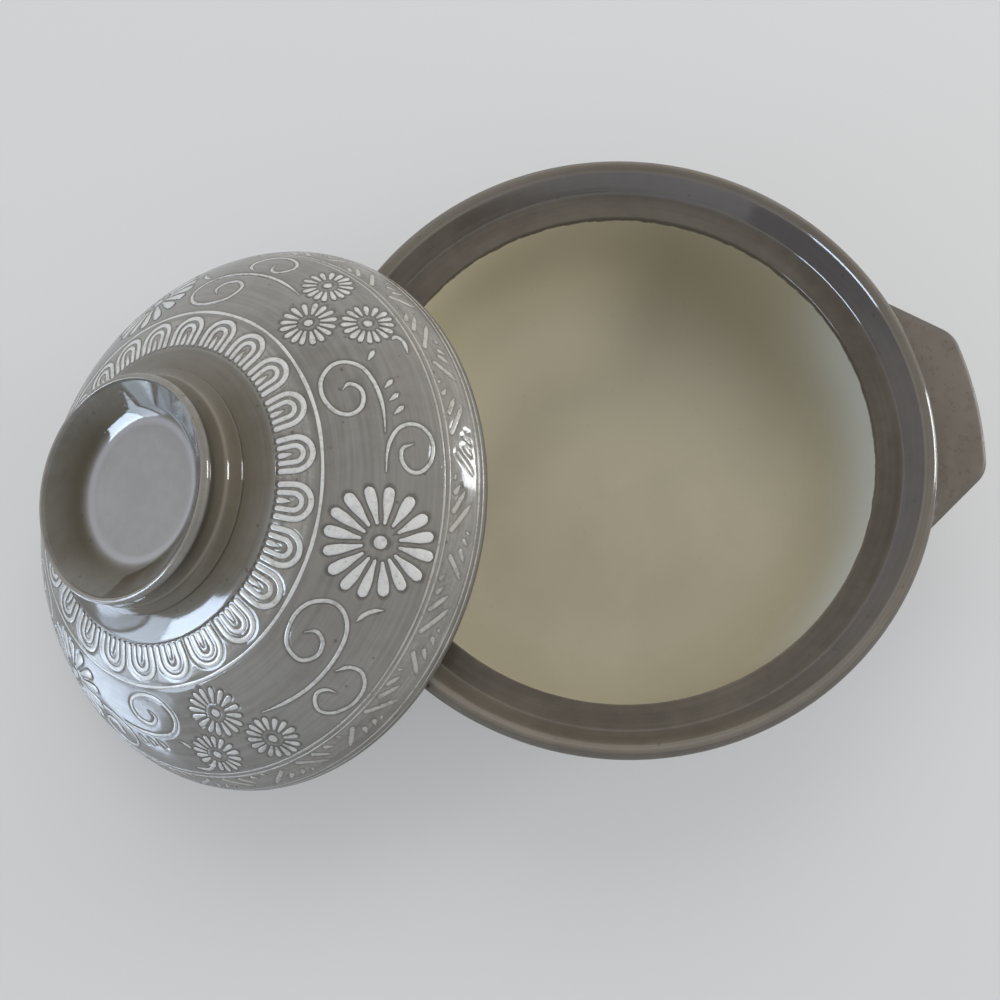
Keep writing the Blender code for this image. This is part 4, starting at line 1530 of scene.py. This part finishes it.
def make_stage(scene):
    """Table, room, lamps and camera."""
    make_table(scene)
    make_room(scene)
    hang_lamps(scene)
    place_camera(scene)
    scene.view_settings.view_transform = "Standard"


# Operators

class DONABE_OT_pot(bpy.types.Operator):
    """Turn the pot with its ledge, its lip and its flat foot"""

    bl_idname = "donabe.pot"
    bl_label = "Pot"

    def execute(self, context):
        make_pot(context.scene)
        return {"FINISHED"}


class DONABE_OT_lugs(bpy.types.Operator):
    """Blend both lugs into the pot's wall"""

    bl_idname = "donabe.lugs"
    bl_label = "Lugs"

    def execute(self, context):
        finish = lug_glaze(context.scene.donabe_colours)
        for name, side in (("lug_right", 1), ("lug_left", -1)):
            make_lug(context.scene, name, side).data.materials.append(finish)
        return {"FINISHED"}


class DONABE_OT_lid(bpy.types.Operator):
    """Make the lid's dome and skirt, dented for the pattern"""

    bl_idname = "donabe.lid"
    bl_label = "Lid"

    def execute(self, context):
        make_lid(context.scene)
        return {"FINISHED"}


class DONABE_OT_knob(bpy.types.Operator):
    """Turn the ring knob with its dished top"""

    bl_idname = "donabe.knob"
    bl_label = "Knob"

    def execute(self, context):
        make_knob(context.scene)
        return {"FINISHED"}


class DONABE_OT_inlay(bpy.types.Operator):
    """Fill the lid's dents with white slip: arches, flowers, scrolls, hatching and lines"""

    bl_idname = "donabe.inlay"
    bl_label = "Slip inlay"

    def execute(self, context):
        scene = context.scene
        pattern = scene.donabe_pattern
        colours = scene.donabe_colours
        dome = Dome(scene.donabe_lid)
        finishes = {
            "thick": slip_glaze(colours, "slip_thick", colours.slip, colours.clay, 0.28),
            "bright": slip_glaze(colours, "slip_bright", colours.slip, colours.slip_thin, 0.8),
            "rubbed": slip_glaze(colours, "slip_rubbed", colours.slip_rubbed, colours.clay, 0.62),
            "worn": slip_glaze(colours, "slip_worn", colours.slip_thin, colours.clay, 0.9),
        }
        for name, finish, _, strokes in pattern_groups(pattern, dome):
            inlay_piece(name, strokes, dome, pattern, finishes[finish])
        return {"FINISHED"}


class DONABE_OT_stage(bpy.types.Operator):
    """Lay the table, hang the lamps and place the camera"""

    bl_idname = "donabe.stage"
    bl_label = "Stage"

    def execute(self, context):
        make_stage(context.scene)
        return {"FINISHED"}


OPERATORS = (
    DONABE_OT_pot, DONABE_OT_lugs, DONABE_OT_lid, DONABE_OT_knob, DONABE_OT_inlay, DONABE_OT_stage,
)


class DONABE_PT_panel(bpy.types.Panel):
    """Lists the casserole's sizes, colours and steps"""

    bl_label = "Casserole"
    bl_idname = "DONABE_PT_panel"
    bl_space_type = "VIEW_3D"
    bl_region_type = "UI"
    bl_category = "Casserole"

    def draw(self, context):
        for operator in OPERATORS:
            self.layout.operator(operator.bl_idname)
        for name, group in GROUPS.items():
            box = self.layout.box()
            box.label(text=name.replace("donabe_", "").capitalize())
            for key in group.__annotations__:
                box.prop(getattr(context.scene, name), key)


def register():
    for group in GROUPS.values():
        bpy.utils.register_class(group)
    for item in (*OPERATORS, DONABE_PT_panel):
        bpy.utils.register_class(item)
    for name, group in GROUPS.items():
        setattr(bpy.types.Scene, name, bpy.props.PointerProperty(type=group))


def unregister():
    for name in GROUPS:
        delattr(bpy.types.Scene, name)
    for item in (DONABE_PT_panel, *reversed(OPERATORS)):
        bpy.utils.unregister_class(item)
    for group in reversed(GROUPS.values()):
        bpy.utils.unregister_class(group)


def main():
    """Builds the casserole and its stage."""
    register()
    bpy.ops.donabe.pot()
    bpy.ops.donabe.lugs()
    bpy.ops.donabe.lid()
    bpy.ops.donabe.knob()
    bpy.ops.donabe.inlay()
    bpy.ops.donabe.stage()


if __name__ == "__main__":
    main()
